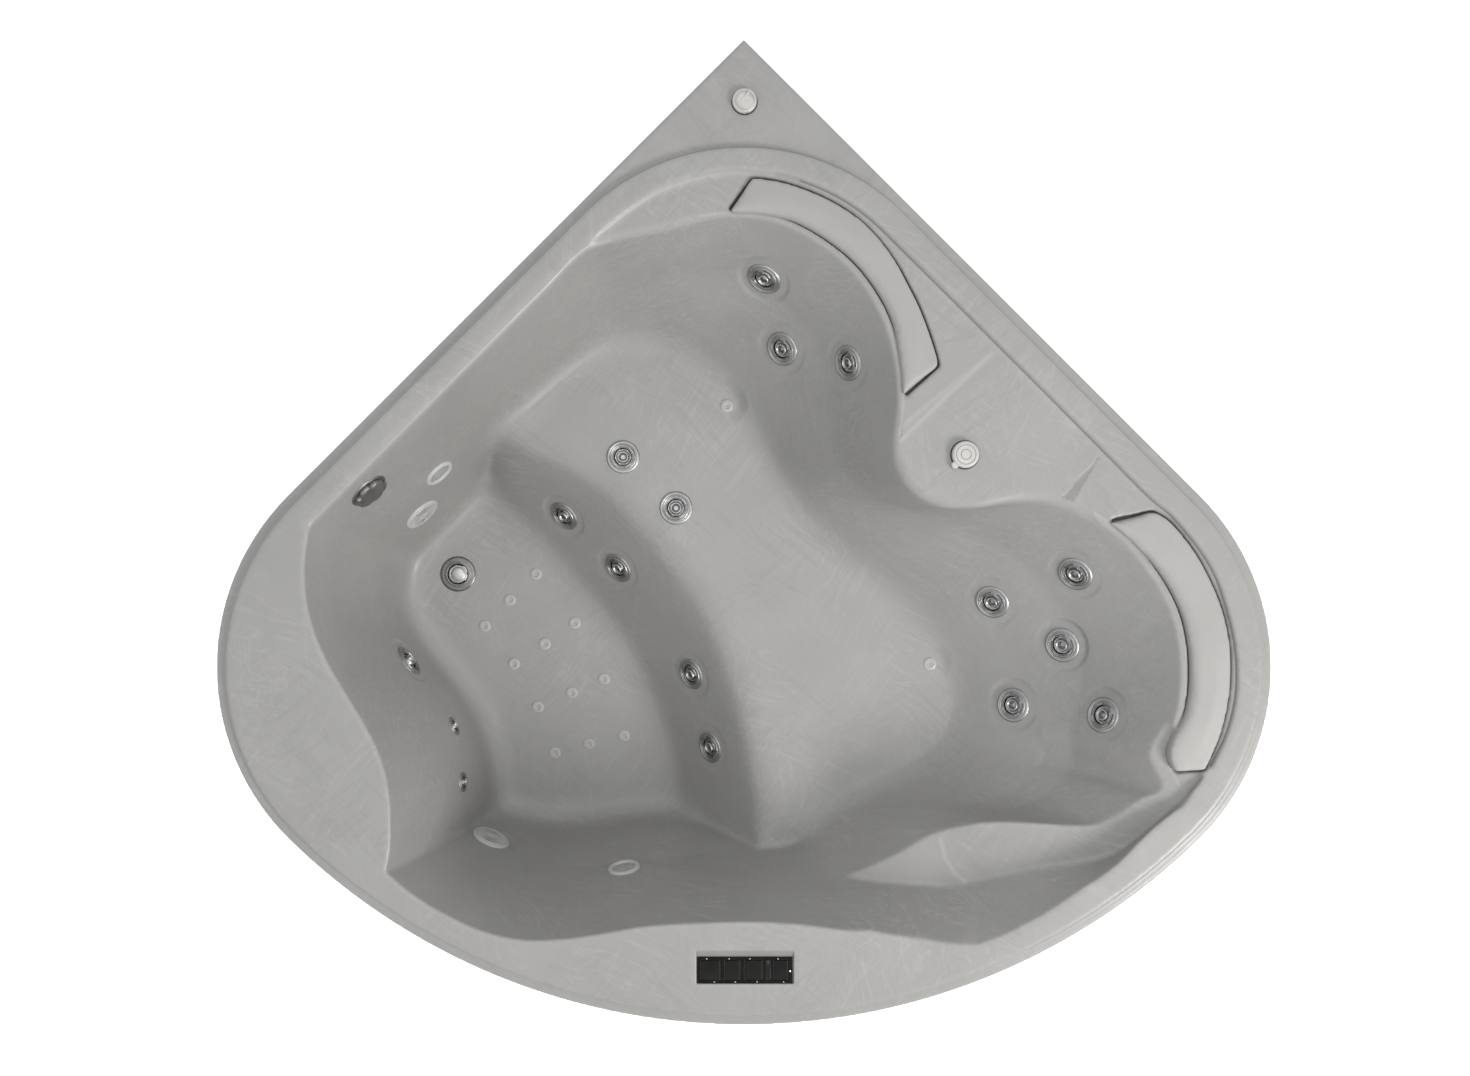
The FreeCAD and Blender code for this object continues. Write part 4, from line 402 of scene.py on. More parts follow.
S2 = np.array(open_curve([tuple(p) for p in S2[:13]], 4)[:-1] + open_curve([tuple(p) for p in S2[12:17]], 4) + RAMP_BACK)


def rest_outline(arc, back, d):
    p = offset(np.array(arc + back), d) if d else np.array(arc + back)
    k = len(arc)
    return np.array(open_curve([tuple(v) for v in p[:k]], 5) + [tuple(v) for v in p[k:]])


# ------------------------------------------------------------------ shell, upper face
def soften(co, ed, step):
    # coves, rounded seat edges and soft backs; step is the mesh's own edge length
    x, y, z = co[:, 0], co[:, 1], co[:, 2]
    k = (3.2 / step) ** 2
    strip = inside_poly(x, y, offset(S1, 8.0)) & (z > 405.0)
    riser = (x > -520.0) & (y > -590.0)
    floor_w = 1.0 - smooth_step(z, 118.0, 175.0)
    seat_w = (1.0 - smooth_step(np.abs(z - ZS), 38.0, 78.0)) * riser
    back_w = 0.28 * smooth_step(z, 300, 360) * (1.0 - smooth_step(z, 500.0, 548.0)) * (x > -300.0)
    heavy = np.clip(np.maximum(np.maximum(floor_w, seat_w), back_w), 0, 1)
    heavy[strip] = 0.0
    heavy[~riser & (z > 170.0)] *= 0.10
    co = relax(co, ed, heavy * 0.85, max(2, int(170 * k)))
    mid = (z < 560.0) * 0.7 * (1.0 - smooth_step(z, 535.0, 560.0))
    mid[strip] *= 0.15
    co = relax(co, ed, mid, max(1, int(14 * k)))
    ledge = inside_poly(x, y, rest_outline(REST_A, REST_A_BACK, 6.0)) | inside_poly(x, y, rest_outline(REST_B, REST_B_BACK, 6.0))
    ledge &= ~inside_poly(x, y, offset(UT, -12.0))
    soft_rim = 0.8 * (z > 535.0) * (dist_line(x, y, UT[20 * SUB:27 * SUB:3]) < 34.0) * np.where(ledge, 0.15, 1.0)
    co = relax(co, ed, soft_rim, max(1, int(30 * k)))
    fold = (x < -120.0) & (x > -430.0) & (y > 230.0) & (z > 300.0) & (z < 562.0)
    bay = (x > 180.0) & (x < 820.0) & (y < -330.0) & (z > 300.0) & (z < 555.0) & ~strip
    co = relax(co, ed, 0.75 * (fold | bay), max(2, int(70 * k)))
    rim = 0.75 * (z > 540.0) * (dist_line(x, y, UT[0:34 * SUB:3]) < 15.0) * np.where(ledge, 0.12, 1.0)
    co = relax(co, ed, rim, max(1, int(14 * k)))
    return co


def drop_object(ob):
    me = ob.data
    bpy.data.objects.remove(ob)
    if me is not None and me.users == 0:
        bpy.data.meshes.remove(me)


def voxel(ob, size):
    m = ob.modifiers.new("r", "REMESH")
    m.mode = "VOXEL"
    m.voxel_size = size * 0.001
    m.adaptivity = 0.0
    apply_all(ob)


def build_upper():
    block = stack_mesh("block", [with_z(outline(0.0), 60.0), with_z(outline(0.0), ZFL)])
    boolean(block, stack_mesh("t", [with_z(outline(20.0, True), 300.0), with_z(outline(20.0, True), ZR)]), "UNION")
    lower = np.array(open_curve(DECK_LINE, 4) + DECK_BACK)
    boolean(block, stack_mesh("t", [with_z(lower, ZD), with_z(offset(lower, 4.0), ZR + 0.2), with_z(offset(lower, 4.0), 620.0)]), "DIFFERENCE")
    boolean(block, stack_mesh("t", [with_z(UM, ZS), with_z(UQ, ZQ), with_z(UT, ZR), with_z(UT, 620.0)]), "DIFFERENCE")
    boolean(block, stack_mesh("t", [with_z(FB, ZF), with_z(offset(FM, -0.4), ZS + 2.0)]), "DIFFERENCE")
    z2 = ZR - np.maximum(ramp_drop(S2[:, 0], S2[:, 1]), -50.0)
    boolean(block, stack_mesh("t", [with_z(S2, z2), with_z(S1, ZR), with_z(S1, 640.0)]), "DIFFERENCE")
    for arc, back in ((REST_A, REST_A_BACK), (REST_B, REST_B_BACK)):
        o = rest_outline(arc, back, 1.5)
        well = stack_mesh("t", [with_z(o, ZREST), with_z(o, 630.0)])
        boolean(well, stack_mesh("t", [with_z(offset(UT, 6.0), 540.0), with_z(offset(UT, 6.0), 640.0)]), "DIFFERENCE")
        boolean(block, well, "DIFFERENCE")
    voxel(block, FINE)
    co, ls, li, ed = arrays(block.data)
    co = soften(co, ed, FINE)
    co = relax(co, ed, np.full(len(co), 0.5), 4)
    c = face_centres(co, ls, li)
    edge = dist_line(c[:, 0], c[:, 1], outline(0.0), True)
    keep = ~((edge < 9.0) & (c[:, 2] < 546.0)) & (c[:, 2] > 90.0)
    co, ls, li = keep_faces(co, ls, li, keep)
    drop_object(block)
    return co, ls, li


def flat_disc(co, p, n, r0, r1, depth):
    o, m = frame_at(p, n)
    near = np.where(np.linalg.norm(co - o, axis=1) < r1 + 40.0)[0]
    loc = (co[near] - o) @ m
    r = np.hypot(loc[:, 0], loc[:, 1])
    w = (1.0 - smooth_step(r, r0, r1)) * (np.abs(loc[:, 2] - depth) < 26.0)
    loc[:, 2] += w * (depth - loc[:, 2])
    co[near] = o + loc @ m.T


def flatten_seats(co, depth=0.0):
    for k, (p, n) in enumerate(JETS):
        s = 0.6 if k in SMALL else 1.0
        r0, r1 = (34.0 * s, 40.0 * s) if k in (8, 9) else (44.0 * s, 52.0 * s)
        flat_disc(co, p, n, r0, r1, depth)
    for p, n in LIGHTS:
        flat_disc(co, p, n, 34.0, 46.0, depth)
    for p, n in SUCTIONS:
        flat_disc(co, p, n, 41.0, 54.0, depth)
    flat_disc(co, OVERFLOW[0], OVERFLOW[1], 38.0, 50.0, depth)
    for x, y in AIR_SEAT:
        flat_disc(co, (x, y, ZS), (0, 0, 1), 15.0, 42.0, depth)


def near_lines(x, y, lines, width):
    best = np.full(len(x), 1e9)
    for line in lines:
        best = np.minimum(best, dist_line(x, y, line))
    return 1.0 - np.clip(best / width, 0.0, 1.0)


def ring_line(x, y, r):
    t = np.arange(25) * 2 * math.pi / 24
    return np.stack([x + r * np.cos(t), y + r * np.sin(t)], 1)


def deck_lines():
    edge = outline(20.0, True)
    edge = np.concatenate([edge, edge[:1]])
    step = open_curve(DECK_LINE, 3)
    rings = [ring_line(AIR_KNOB[0], AIR_KNOB[1], 23.5), ring_line(CORNER_KNOB[0], CORNER_KNOB[1], 21.5)]
    lip = offset(UT, 3.0)
    return edge, step, rings, [lip[11 * SUB:19 * SUB], lip[26 * SUB:33 * SUB]]


def refine(ob, lines, width, cuts):
    n = len(ob.data.vertices)
    co = np.empty(n * 3, np.float32)
    ob.data.vertices.foreach_get("co", co)
    co = co.reshape(-1, 3) * 1000.0
    near = np.zeros(n, bool)
    top = np.where(co[:, 2] > 562.0)[0]
    near[top] = near_lines(co[top, 0], co[top, 1], lines, width) > 0.0
    bm = bmesh.new()
    bm.from_mesh(ob.data)
    edges = [e for e in bm.edges if near[e.verts[0].index] and near[e.verts[1].index]]
    bmesh.ops.subdivide_edges(bm, edges=edges, cuts=cuts, use_grid_fill=True)
    bm.to_mesh(ob.data)
    bm.free()
    co = np.empty(len(ob.data.vertices) * 3, np.float32)
    ob.data.vertices.foreach_get("co", co)
    return co.reshape(-1, 3).astype(float) * 1000.0


def fold_lines(co):
    # fine creases of the deck; dark and light give how strong the painted shade and the painted highlight along each
    # one are
    dark, light = np.zeros(len(co)), np.zeros(len(co))
    top = np.where(co[:, 2] > 562.0)[0]
    x, y = co[top, 0], co[top, 1]
    edge, step, rings, lips = deck_lines()
    wide, thin = 4.2 * FINE / 3.2, 2.1 * FINE / 3.2
    v = near_lines(x, y, [CREASE[:2], [CREASE[0], CREASE[2]]], 7.0)
    wedge = inside_poly(x, y, CREASE)
    co[top, 2] += 0.8 * v + 0.5 * wedge
    # painted highlight along the armrest creases, fainter over the wedge between them
    light[top] = np.maximum(0.75 * v, 0.22 * wedge)
    # painted highlight along the lit part of the deck step, the back-left rim edge and the lips by the head rests
    light[top] = np.maximum(light[top], 0.65 * near_lines(x, y, [step[:30], UT[0:9 * SUB:2]], wide))
    light[top] = np.maximum(light[top], 0.70 * near_lines(x, y, lips, thin * 1.5))
    hollow = inside_poly(x, y, FACET)
    co[top, 2] -= 1.2 * hollow
    # painted shade in the lowered facet and along the shaded part of the deck step, the raised rim's outer edge and the
    # knob rings
    dark[top] = np.maximum(0.45 * hollow, 0.90 * near_lines(x, y, [step[33:]], thin))
    dark[top] = np.maximum(dark[top], 0.80 * near_lines(x, y, [edge], thin))
    dark[top] = np.maximum(dark[top], 0.80 * near_lines(x, y, rings[:1], thin))
    dark[top] = np.maximum(dark[top], 0.25 * near_lines(x, y, rings[1:], thin))
    co[top, 2] -= 0.7 * near_lines(x, y, [edge, step[33:]], thin)
    nose = np.where((co[:, 2] > 430.0) & (co[:, 2] < 560.0) & (np.abs(co[:, 0] - 372.0) < 50.0) & (np.abs(co[:, 1] + 585.0) < 60.0))[0]
    v = near_lines(co[nose, 0], co[nose, 1], [NOSE], 6.0)
    co[nose, 2] += 0.8 * v
    # painted highlight along the nose crease
    light[nose] = np.maximum(light[nose], 0.7 * v)
    return dark, light


def drill_mask(c, holes):
    keep = np.ones(len(c), bool)
    for p, n, r in holes:
        o, m = frame_at(p, n)
        near = np.where(np.abs(c - o).max(axis=1) < r + 30.0)[0]
        loc = (c[near] - o) @ m
        keep[near[(np.hypot(loc[:, 0], loc[:, 1]) < r) & (np.abs(loc[:, 2]) < 16.0)]] = False
    return keep


def bore_list(r_jet, r_light, r_suction, r_drain, r_over):
    holes = [(p, n, r_jet * (0.6 if k in SMALL else 1.0)) for k, (p, n) in enumerate(JETS)]
    holes += [(p, n, r_light) for p, n in LIGHTS] + [(p, n, r_suction) for p, n in SUCTIONS]
    return holes + [((DRAIN[0], DRAIN[1], ZF), (0, 0, 1), r_drain), (OVERFLOW[0], OVERFLOW[1], r_over)]


def make_upper():
    co, ls, li = build_upper()
    flatten_seats(co)
    c = face_centres(co, ls, li)
    keep = drill_mask(c, bore_list(27.0, 26.0, 31.0, 28.0, 24.0))
    keep &= ~((c[:, 0] > PAD[0] - 9) & (c[:, 0] < PAD[2] + 9) & (c[:, 1] > PAD[1] - 9) & (c[:, 1] < PAD[3] + 9) & (c[:, 2] > 560.0))
    co, ls, li = keep_faces(co, ls, li, keep)
    ob = mesh_from_arrays("shell_face", co, ls, li)
    edge, step, rings, lips = deck_lines()
    co = refine(ob, [edge, step] + rings + lips, 6.0 * FINE / 3.2, 2)
    dark, light = fold_lines(co)
    ob.data.vertices.foreach_set("co", (co * 0.001).astype(np.float32).ravel())
    ob.data.update()
    # store the painted shade and painted highlight strengths as point attributes for the acrylic colour
    for name, v in (("painted_shade", dark), ("ridge", light)):
        att = ob.data.attributes.new(name, "FLOAT", "POINT")
        att.data.foreach_set("value", v.astype(np.float32))
    return ob


# ------------------------------------------------------------------ shell, back face and lip
def make_back():
    block = stack_mesh("block", [with_z(offset(UM, WALL + 1.0), ZS - 7.0), with_z(offset(UQ, WALL + 0.5), ZQ - 2.0),
                                 with_z(offset(UT, WALL), ZR - 12.0)])
    boolean(block, stack_mesh("t", [with_z(outline(5.0), 565.0), with_z(outline(5.0), 571.0)]), "UNION")
    boolean(block, stack_mesh("t", [with_z(offset(FB, WALL), ZF - 7.0), with_z(offset(FM, WALL - 0.5), ZS - 2.0)]), "UNION")
    boolean(block, stack_mesh("t", [with_z(offset(S2, WALL), ZR - 7.0 - ramp_drop(S2[:, 0], S2[:, 1])),
                                    with_z(offset(S1, WALL), ZR - 12.0)]), "UNION")
    for arc, back in ((REST_A, REST_A_BACK), (REST_B, REST_B_BACK)):
        o = rest_outline(arc, back, 8.5)
        boolean(block, stack_mesh("t", [with_z(o, ZREST - 7.0), with_z(o, 566.0)]), "UNION")
    voxel(block, COARSE)
    co, ls, li, ed = arrays(block.data)
    co = soften(co, ed, COARSE)
    co = relax(co, ed, np.full(len(co), 0.5), 1)
    flatten_seats(co, -10.0)
    c, n = face_centres(co, ls, li), face_normals(co, ls, li)
    keep = ~((c[:, 2] > 567.5) & (n[:, 2] > 0.4))
    keep &= drill_mask(c + 0.0, [(p - 10.0 * unit(v), v, r) for p, v, r in
                                 [(np.array(a, float), b, d) for a, b, d in bore_list(23.0, 24.0, 27.0, 22.0, 21.0)]])
    co, ls, li = keep_faces(co, ls, li, keep)
    drop_object(block)
    return mesh_from_arrays("shell_back", co, ls, li)


def band(name, rings, closed_profile=True):
    n = len(rings[0])
    verts = np.concatenate(rings)
    faces = []
    m = len(rings)
    for k in range(m if closed_profile else m - 1):
        a, b = k * n, ((k + 1) % m) * n
        for i in range(n):
            j = (i + 1) % n
            faces.append([a + i, a + j, b + j, b + i])
    return new_object(name, verts, faces)


def densify(p, step):
    out = []
    for a, b in zip(p, np.roll(p, -1, 0)):
        k = max(1, int(np.linalg.norm(b - a) / step))
        out += [a + (b - a) * t / k for t in range(k)]
    return np.array(out)


def make_lip():
    o = densify(outline(0.0), 20.0)

    def at(d, z):
        return with_z(offset(o, -d), z)
    return band("shell_lip", [at(0.3, 551.0), at(0.3, 546.2), at(1.2, 545.0), at(4.0, 545.0), at(5.0, 546.2), at(5.0, 566.0)], False)


# ------------------------------------------------------------------ turned pieces
def turned(name, places, radii, heights, segs=64, rad=None, hgt=None, scales=None, close_start=True, close_end=True):
    """One mesh turned about each place's own axis. rad(k, angles) and hgt(k, angles) shape single rings."""
    th = np.arange(segs) * 2 * math.pi / segs
    rings = []
    for k, (r, z) in enumerate(zip(radii, heights)):
        rr = np.full(segs, float(r)) if rad is None else rad(k, r, th)
        zz = np.full(segs, float(z)) if hgt is None else hgt(k, z, th)
        rings.append(np.stack([rr * np.cos(th), rr * np.sin(th), zz], 1))
    loc = np.concatenate(rings)
    nr = len(rings)
    faces = []
    for k in range(nr - 1):
        for i in range(segs):
            j = (i + 1) % segs
            faces.append([k * segs + i, k * segs + j, (k + 1) * segs + j, (k + 1) * segs + i])
    if close_start:
        faces.append(list(range(segs))[::-1])
    if close_end:
        faces.append([(nr - 1) * segs + i for i in range(segs)])
    verts, fs = [], []
    for q, pl in enumerate(places):
        o, m = pl
        s = 1.0 if scales is None else scales[q]
        base = q * len(loc)
        verts.append(o + (loc * s) @ m.T)
        fs += [[base + i for i in f] for f in faces]
    ob = new_object(name, np.concatenate(verts), fs)
    return ob


def shade(ob, angle=35.0):
    ob.data.shade_smooth()
    ob.data.set_sharp_from_angle(angle=math.radians(angle))
    return ob


def join(name, obs):
    me_v, me_f, base = [], [], 0
    for o in obs:
        v = np.empty(len(o.data.vertices) * 3, np.float32)
        o.data.vertices.foreach_get("co", v)
        me_v.append(v.reshape(-1, 3) * 1000.0)
        me_f += [[base + i for i in p.vertices] for p in o.data.polygons]
        base += len(o.data.vertices)
        drop_object(o)
    return new_object(name, np.concatenate(me_v), me_f)


def bevelled_box(name, lo, hi, width, segs=3):
    lo, hi = np.array(lo, float), np.array(hi, float)
    v = [[(lo, hi)[i][0], (lo, hi)[j][1], (lo, hi)[k][2]] for i in (0, 1) for j in (0, 1) for k in (0, 1)]
    f = [[0, 1, 3, 2], [4, 6, 7, 5], [0, 4, 5, 1], [2, 3, 7, 6], [0, 2, 6, 4], [1, 5, 7, 3]]
    ob = new_object(name, v, f)
    if width:
        bevel(ob, width, segs)
    return ob


def bevel(ob, width, segs=3, angle=30.0):
    m = ob.modifiers.new("v", "BEVEL")
    m.width = width * 0.001
    m.segments = segs
    m.limit_method = "ANGLE"
    m.angle_limit = math.radians(angle)
    m.harden_normals = False
    apply_all(ob)


LEVEL = np.eye(3)


def upright(x, y, z):
    return (np.array((x, y, z), float), LEVEL)


JET_AT = [frame_at(p, n) for p, n in JETS]
JET_S = [0.6 if k in SMALL else 1.0 for k in range(len(JETS))]


def crevice(ob, places, scales, bands, top):
    # which points lie in a ring-shaped gap or groove; the metal and plastic colours paint shade on them
    n = len(ob.data.vertices)
    co = np.empty(n * 3, np.float32)
    ob.data.vertices.foreach_get("co", co)
    co = co.reshape(-1, 3).astype(float) * 1000.0
    gap_shade_mask = np.zeros(n, np.float32)
    for (o, m), k in zip(places, scales):
        near = np.where(np.abs(co - o).max(axis=1) < 36.0)[0]
        loc = (co[near] - o) @ m / k
        r = np.hypot(loc[:, 0], loc[:, 1])
        for lo, hi in bands:
            gap_shade_mask[near[(r > lo) & (r < hi) & (loc[:, 2] < top)]] = 1.0
    ob.data.attributes.new("painted_gap_shade", "FLOAT", "POINT").data.foreach_set("value", gap_shade_mask)
    return ob


def make_jet_rings():
    prof = [(19.5, -3.0), (17.1, -1.2), (17.1, 1.6), (17.7, 2.3), (18.5, 2.1), (18.9, 1.2), (22.2, 1.3), (22.6, 2.2), (23.1, 3.7),
            (24.0, 4.2), (24.9, 3.8), (25.5, 2.7), (26.4, 2.5), (27.0, 3.0), (28.2, 3.2), (29.6, 2.9), (31.0, 2.1), (31.9, 1.0), (32.0, -0.4)]
    ring = turned("jet_ring", JET_AT, [p[0] for p in prof], [p[1] for p in prof], 72, scales=JET_S, close_start=False, close_end=False)
    lugs = []
    for (o, m), s in zip(JET_AT, JET_S):
        for a in range(4):
            a0 = math.radians(20 + 90 * a)
            v, f = [], []
            for i in range(7):
                t = a0 + math.radians(34.0) * i / 6.0
                for r, z in ((18.9, 0.9), (18.9, 2.6), (19.5, 3.1), (21.7, 3.1), (22.4, 2.6), (22.4, 0.9)):
                    v.append((r * math.cos(t), r * math.sin(t), z))
            for i in range(6):
                for k in range(5):
                    f.append([i * 6 + k, i * 6 + k + 1, (i + 1) * 6 + k + 1, (i + 1) * 6 + k])
            f += [[0, 1, 2, 3, 4, 5][::-1], [36 + k for k in range(6)]]
            lugs.append(new_object("lug", o + (np.array(v) * s) @ m.T, f))
    return shade(crevice(join("jet_wall_rings", [ring] + lugs), JET_AT, JET_S, [(16.5, 19.2)], 1.9), 32)


def make_nozzle(i):
    o, m = JET_AT[i]
    prof = [(3.2, -19.2), (11.0, -19.6), (14.6, -18.2), (17.0, -13.6), (17.9, -9.0), (17.7, -5.0), (16.9, -2.3), (16.3, -1.2), (15.4, -0.7),
            (14.6, -1.3), (13.2, -1.5), (12.3, -0.8), (11.7, 0.8), (10.9, 4.2), (10.5, 5.4), (9.8, 6.0), (8.9, 6.0), (8.0, 5.2), (6.6, 3.4),
            (5.7, 1.0), (5.5, -2.0), (5.4, -5.0), (4.4, -6.0), (1.2, -6.3)]

    def ridge(k, z, th):
        base = np.full(len(th), float(z))
        if 9 <= k <= 11:
            base += 0.9 * np.clip(np.cos(6 * th) * 2.2 - 1.2, 0, 1)
        return base
    ob = turned("nozzle_%02d" % (i + 1), [(o, m)], [p[0] for p in prof], [p[1] for p in prof], 60, hgt=ridge, scales=[JET_S[i]])
    return shade(crevice(ob, [(o, m)], [JET_S[i]], [(15.9, 18.5)], 1.9), 32)


def hexagon(r, th):
    t = np.mod(th, math.pi / 3) - math.pi / 6
    return r * math.cos(math.pi / 6) / np.cos(t)


def make_air_caps():
    prof = [(12.5, -0.3), (12.4, 0.7), (11.9, 1.3), (10.8, 1.7), (8.6, 2.2), (7.6, 2.5), (6.9, 2.4), (6.5, 2.0), (6.3, 0.7), (5.2, 0.5),
            (2.3, 0.5), (2.0, -1.5), (2.0, -6.0)]

    def rad(k, r, th):
        return hexagon(r, th) if 6 <= k <= 9 else np.full(len(th), float(r))
    at = [upright(x, y, ZF) for x, y in AIR_FLOOR] + [upright(x, y, ZS) for x, y in AIR_SEAT]
    return shade(turned("air_injector_tops", at, [p[0] for p in prof], [p[1] for p in prof], 48, rad=rad), 35)


def make_suction_covers():
    radii = [38.0, 37.9, 37.2, 35.8, 34.2, 33.2, 32.6, 32.4, 31.6, 30.6, 29.9, 29.4, 26.0, 22.0, 18.0, 14.0, 10.4, 9.9, 8.0, 5.0, 1.2]
    base = [-0.4, 1.0, 2.2, 3.2, 3.7, 3.5, 2.9, 2.4, 2.4, 2.9, 4.0, 4.6, 5.1, 5.5, 5.8, 6.0, 6.1, 6.1, 6.2, 6.3, 6.4]

    def hgt(k, z, th):
        out = np.full(len(th), float(z))
        if 11 < k < 17:
            t = np.mod(th + math.pi / 36, math.pi / 18) - math.pi / 36
            out -= 3.4 * (np.abs(t) < math.pi / 84)
        return out
    return shade(turned("suction_grilles", [frame_at(p, n) for p, n in SUCTIONS], radii, base, 432, hgt=hgt), 28)


def make_light_rings():
    prof = [(20.9, -3.0), (20.9, 2.0), (21.4, 2.9), (22.4, 3.9), (24.0, 4.5), (26.6, 4.5), (28.4, 4.1), (30.0, 2.9), (30.9, 1.4), (31.0, -0.4)]
    at = [frame_at(p, n) for p, n in LIGHTS]
    return shade(turned("light_rings", at, [p[0] for p in prof], [p[1] for p in prof], 72, close_start=False, close_end=False), 35)


def make_lenses():
    radii = [20.7, 20.6] + [19.8 - i * 0.9 for i in range(21)] + [0.6]
    hs = [-2.0, 0.9] + [1.1 + 1.7 * (1 - (1 - (i / 20.0)) ** 2) - (0.28 if i % 2 else 0.0) for i in range(21)] + [2.9]
    at = [frame_at(p, n) for p, n in LIGHTS]
    return shade(turned("lamp_lenses", at, radii, hs, 60), 50)


def make_drain():
    fl = [(20.1, -6.0), (20.1, 0.6), (20.8, 1.8), (22.0, 2.9), (23.6, 3.1), (25.0, 2.7), (30.0, 2.5), (33.0, 2.6), (35.2, 2.0), (36.4, 0.9), (36.5, -0.3)]
    flange = turned("drain_ring", [upright(DRAIN[0], DRAIN[1], ZF)], [p[0] for p in fl], [p[1] for p in fl], 96, close_start=False, close_end=False)
    box_lo, box_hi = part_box("drain_flange")
    sl = [(20.1, -6.0), (21.8, -6.5), (21.8, (box_lo.z * 1000.0) - ZF + 0.5), (20.1, (box_lo.z * 1000.0) - ZF + 0.5)]
    sleeve = turned("t", [upright(DRAIN[0], DRAIN[1], ZF)], [p[0] for p in sl], [p[1] for p in sl], 64, close_start=False, close_end=False)
    cross = []
    for a in (0, 1):
        v = (20.4, 2.4)
        x, y = (v[0], v[1]) if a == 0 else (v[1], v[0])
        cross.append(bevelled_box("t", (DRAIN[0] - x, DRAIN[1] - y, ZF - 22.0), (DRAIN[0] + x, DRAIN[1] + y, ZF - 16.4), 0.6, 2))
    st = [(3.9, -21.5), (4.0, 0.4), (16.6, 0.5), (18.2, 0.7), (18.5, 1.6), (18.2, 2.6), (17.0, 3.2), (15.6, 3.3), (15.0, 3.0), (14.4, 3.5),
          (11.0, 4.3), (6.0, 4.9), (3.0, 5.0), (1.0, 5.0)]
    stop = turned("drain_plug", [upright(DRAIN[0], DRAIN[1], ZF)], [p[0] for p in st], [p[1] for p in st], 80)
    return shade(join("drain_ring", [flange, sleeve] + cross), 32), shade(stop, 32)


def make_overflow():
    at = [frame_at(*OVERFLOW)]
    pl = [(8.2, 2.2), (8.6, 3.0), (29.6, 3.0), (32.0, 3.1), (34.6, 2.4), (35.8, 1.2), (36.0, -0.3)]
    plate = turned("overflow_base", at, [p[0] for p in pl], [p[1] for p in pl], 96, close_start=False, close_end=False)
    tube = [(17.6, -0.5), (20.6, -0.5), (20.6, -12.0), (17.6, -12.0)]
    tube = turned("t", at, [p[0] for p in tube], [p[1] for p in tube], 64, close_start=False, close_end=False)
    kn = [(7.8, -19.5), (8.0, 3.4), (29.5, 3.5), (31.6, 4.0), (32.0, 5.2), (32.0, 8.6), (31.3, 10.4), (29.4, 11.7), (27.0, 12.1), (25.4, 11.8),
          (24.4, 11.2), (23.2, 11.5), (18.0, 12.5), (10.0, 13.0), (4.0, 13.0), (1.0, 13.0)]

    def rad(k, r, th):
        out = np.full(len(th), float(r))
        if 2 <= k <= 9:
            t = np.mod(th + math.pi / 6, math.pi / 3) - math.pi / 6
            d, c = 37.0, 9.0
            s = d * np.abs(np.sin(t))
            hit = s < c
            cut = d * np.cos(t) - np.sqrt(np.maximum(c * c - s * s, 0))
            out = np.where(hit, np.minimum(out, out + (cut - 32.0)), out)
            out = np.where(hit & (cut > 32.0), float(r), out)
        return out
    knob = turned("overflow_dial", at, [p[0] for p in kn], [p[1] for p in kn], 180, rad=rad)
    return shade(join("overflow_base", [plate, tube]), 32), shade(knob, 32)


def make_air_dial():
    x, y = AIR_KNOB
    pr = [(5.9, -29.0), (6.0, 1.2), (21.6, 1.4), (22.8, 1.8), (23.0, 3.0), (23.0, 9.4), (22.6, 11.2), (21.4, 12.6), (19.6, 13.3), (17.6, 13.5),
          (16.9, 12.7), (16.2, 12.7), (15.6, 13.6), (12.0, 13.9), (9.6, 14.0), (9.0, 13.2), (8.3, 13.2), (7.7, 14.1), (4.0, 14.3), (1.0, 14.4)]
    base = turned("t", [upright(x, y, ZD)], [p[0] for p in pr], [p[1] for p in pr], 96)
    nb = [(6.2, 1.6), (6.5, 2.4), (6.5, 8.2), (6.1, 9.8), (5.0, 10.9), (3.0, 11.3), (1.0, 11.4)]
    nub = turned("t", [upright(x - 17.9, y - 17.9, ZD)], [p[0] for p in nb], [p[1] for p in nb], 40)
    ob = join("air_dial", [base, nub])
    return shade(crevice(ob, [upright(x, y, ZD)], [1.0], [(16.0, 17.1), (8.1, 9.2)], 20.0), 30)


def make_corner_dial():
    x, y = CORNER_KNOB
    pr = [(5.9, -29.0), (6.0, 1.2), (19.6, 1.4), (20.8, 1.8), (21.0, 3.0), (21.0, 7.2), (20.6, 9.0), (19.2, 10.4), (17.6, 10.9), (16.8, 10.6),
          (16.0, 10.7), (10.0, 11.2), (4.0, 11.3), (1.0, 11.3)]
    base = turned("t", [upright(x, y, ZFL)], [p[0] for p in pr], [p[1] for p in pr], 96)
    b2 = [(11.6, 10.4), (11.6, 11.2), (11.0, 11.9), (9.8, 12.1), (9.0, 11.7), (8.2, 11.7), (5.0, 12.0), (1.0, 12.0)]
    boss = turned("t", [upright(x + 4.6, y - 4.2, ZFL)], [p[0] for p in b2], [p[1] for p in b2], 64)
    bar = bevelled_box("t", (-4.2, -1.7, 0.0), (8.4, 1.7, 2.6), 0.8, 3)
    for v in bar.data.vertices:
        a = math.radians(52.0)
        px, py = v.co.x * 1000.0, v.co.y * 1000.0
        v.co = ((x + 3.0 + px * math.cos(a) - py * math.sin(a)) * 0.001, (y + 8.0 + px * math.sin(a) + py * math.cos(a)) * 0.001,
                v.co.z + (ZFL + 10.2) * 0.001)
    ob = join("corner_dial", [base, boss, bar])
    return shade(crevice(ob, [upright(x, y, ZFL), upright(x + 4.6, y - 4.2, ZFL)], [1.0, 1.0], [(15.7, 16.9), (11.5, 11.7)], 10.9), 30)


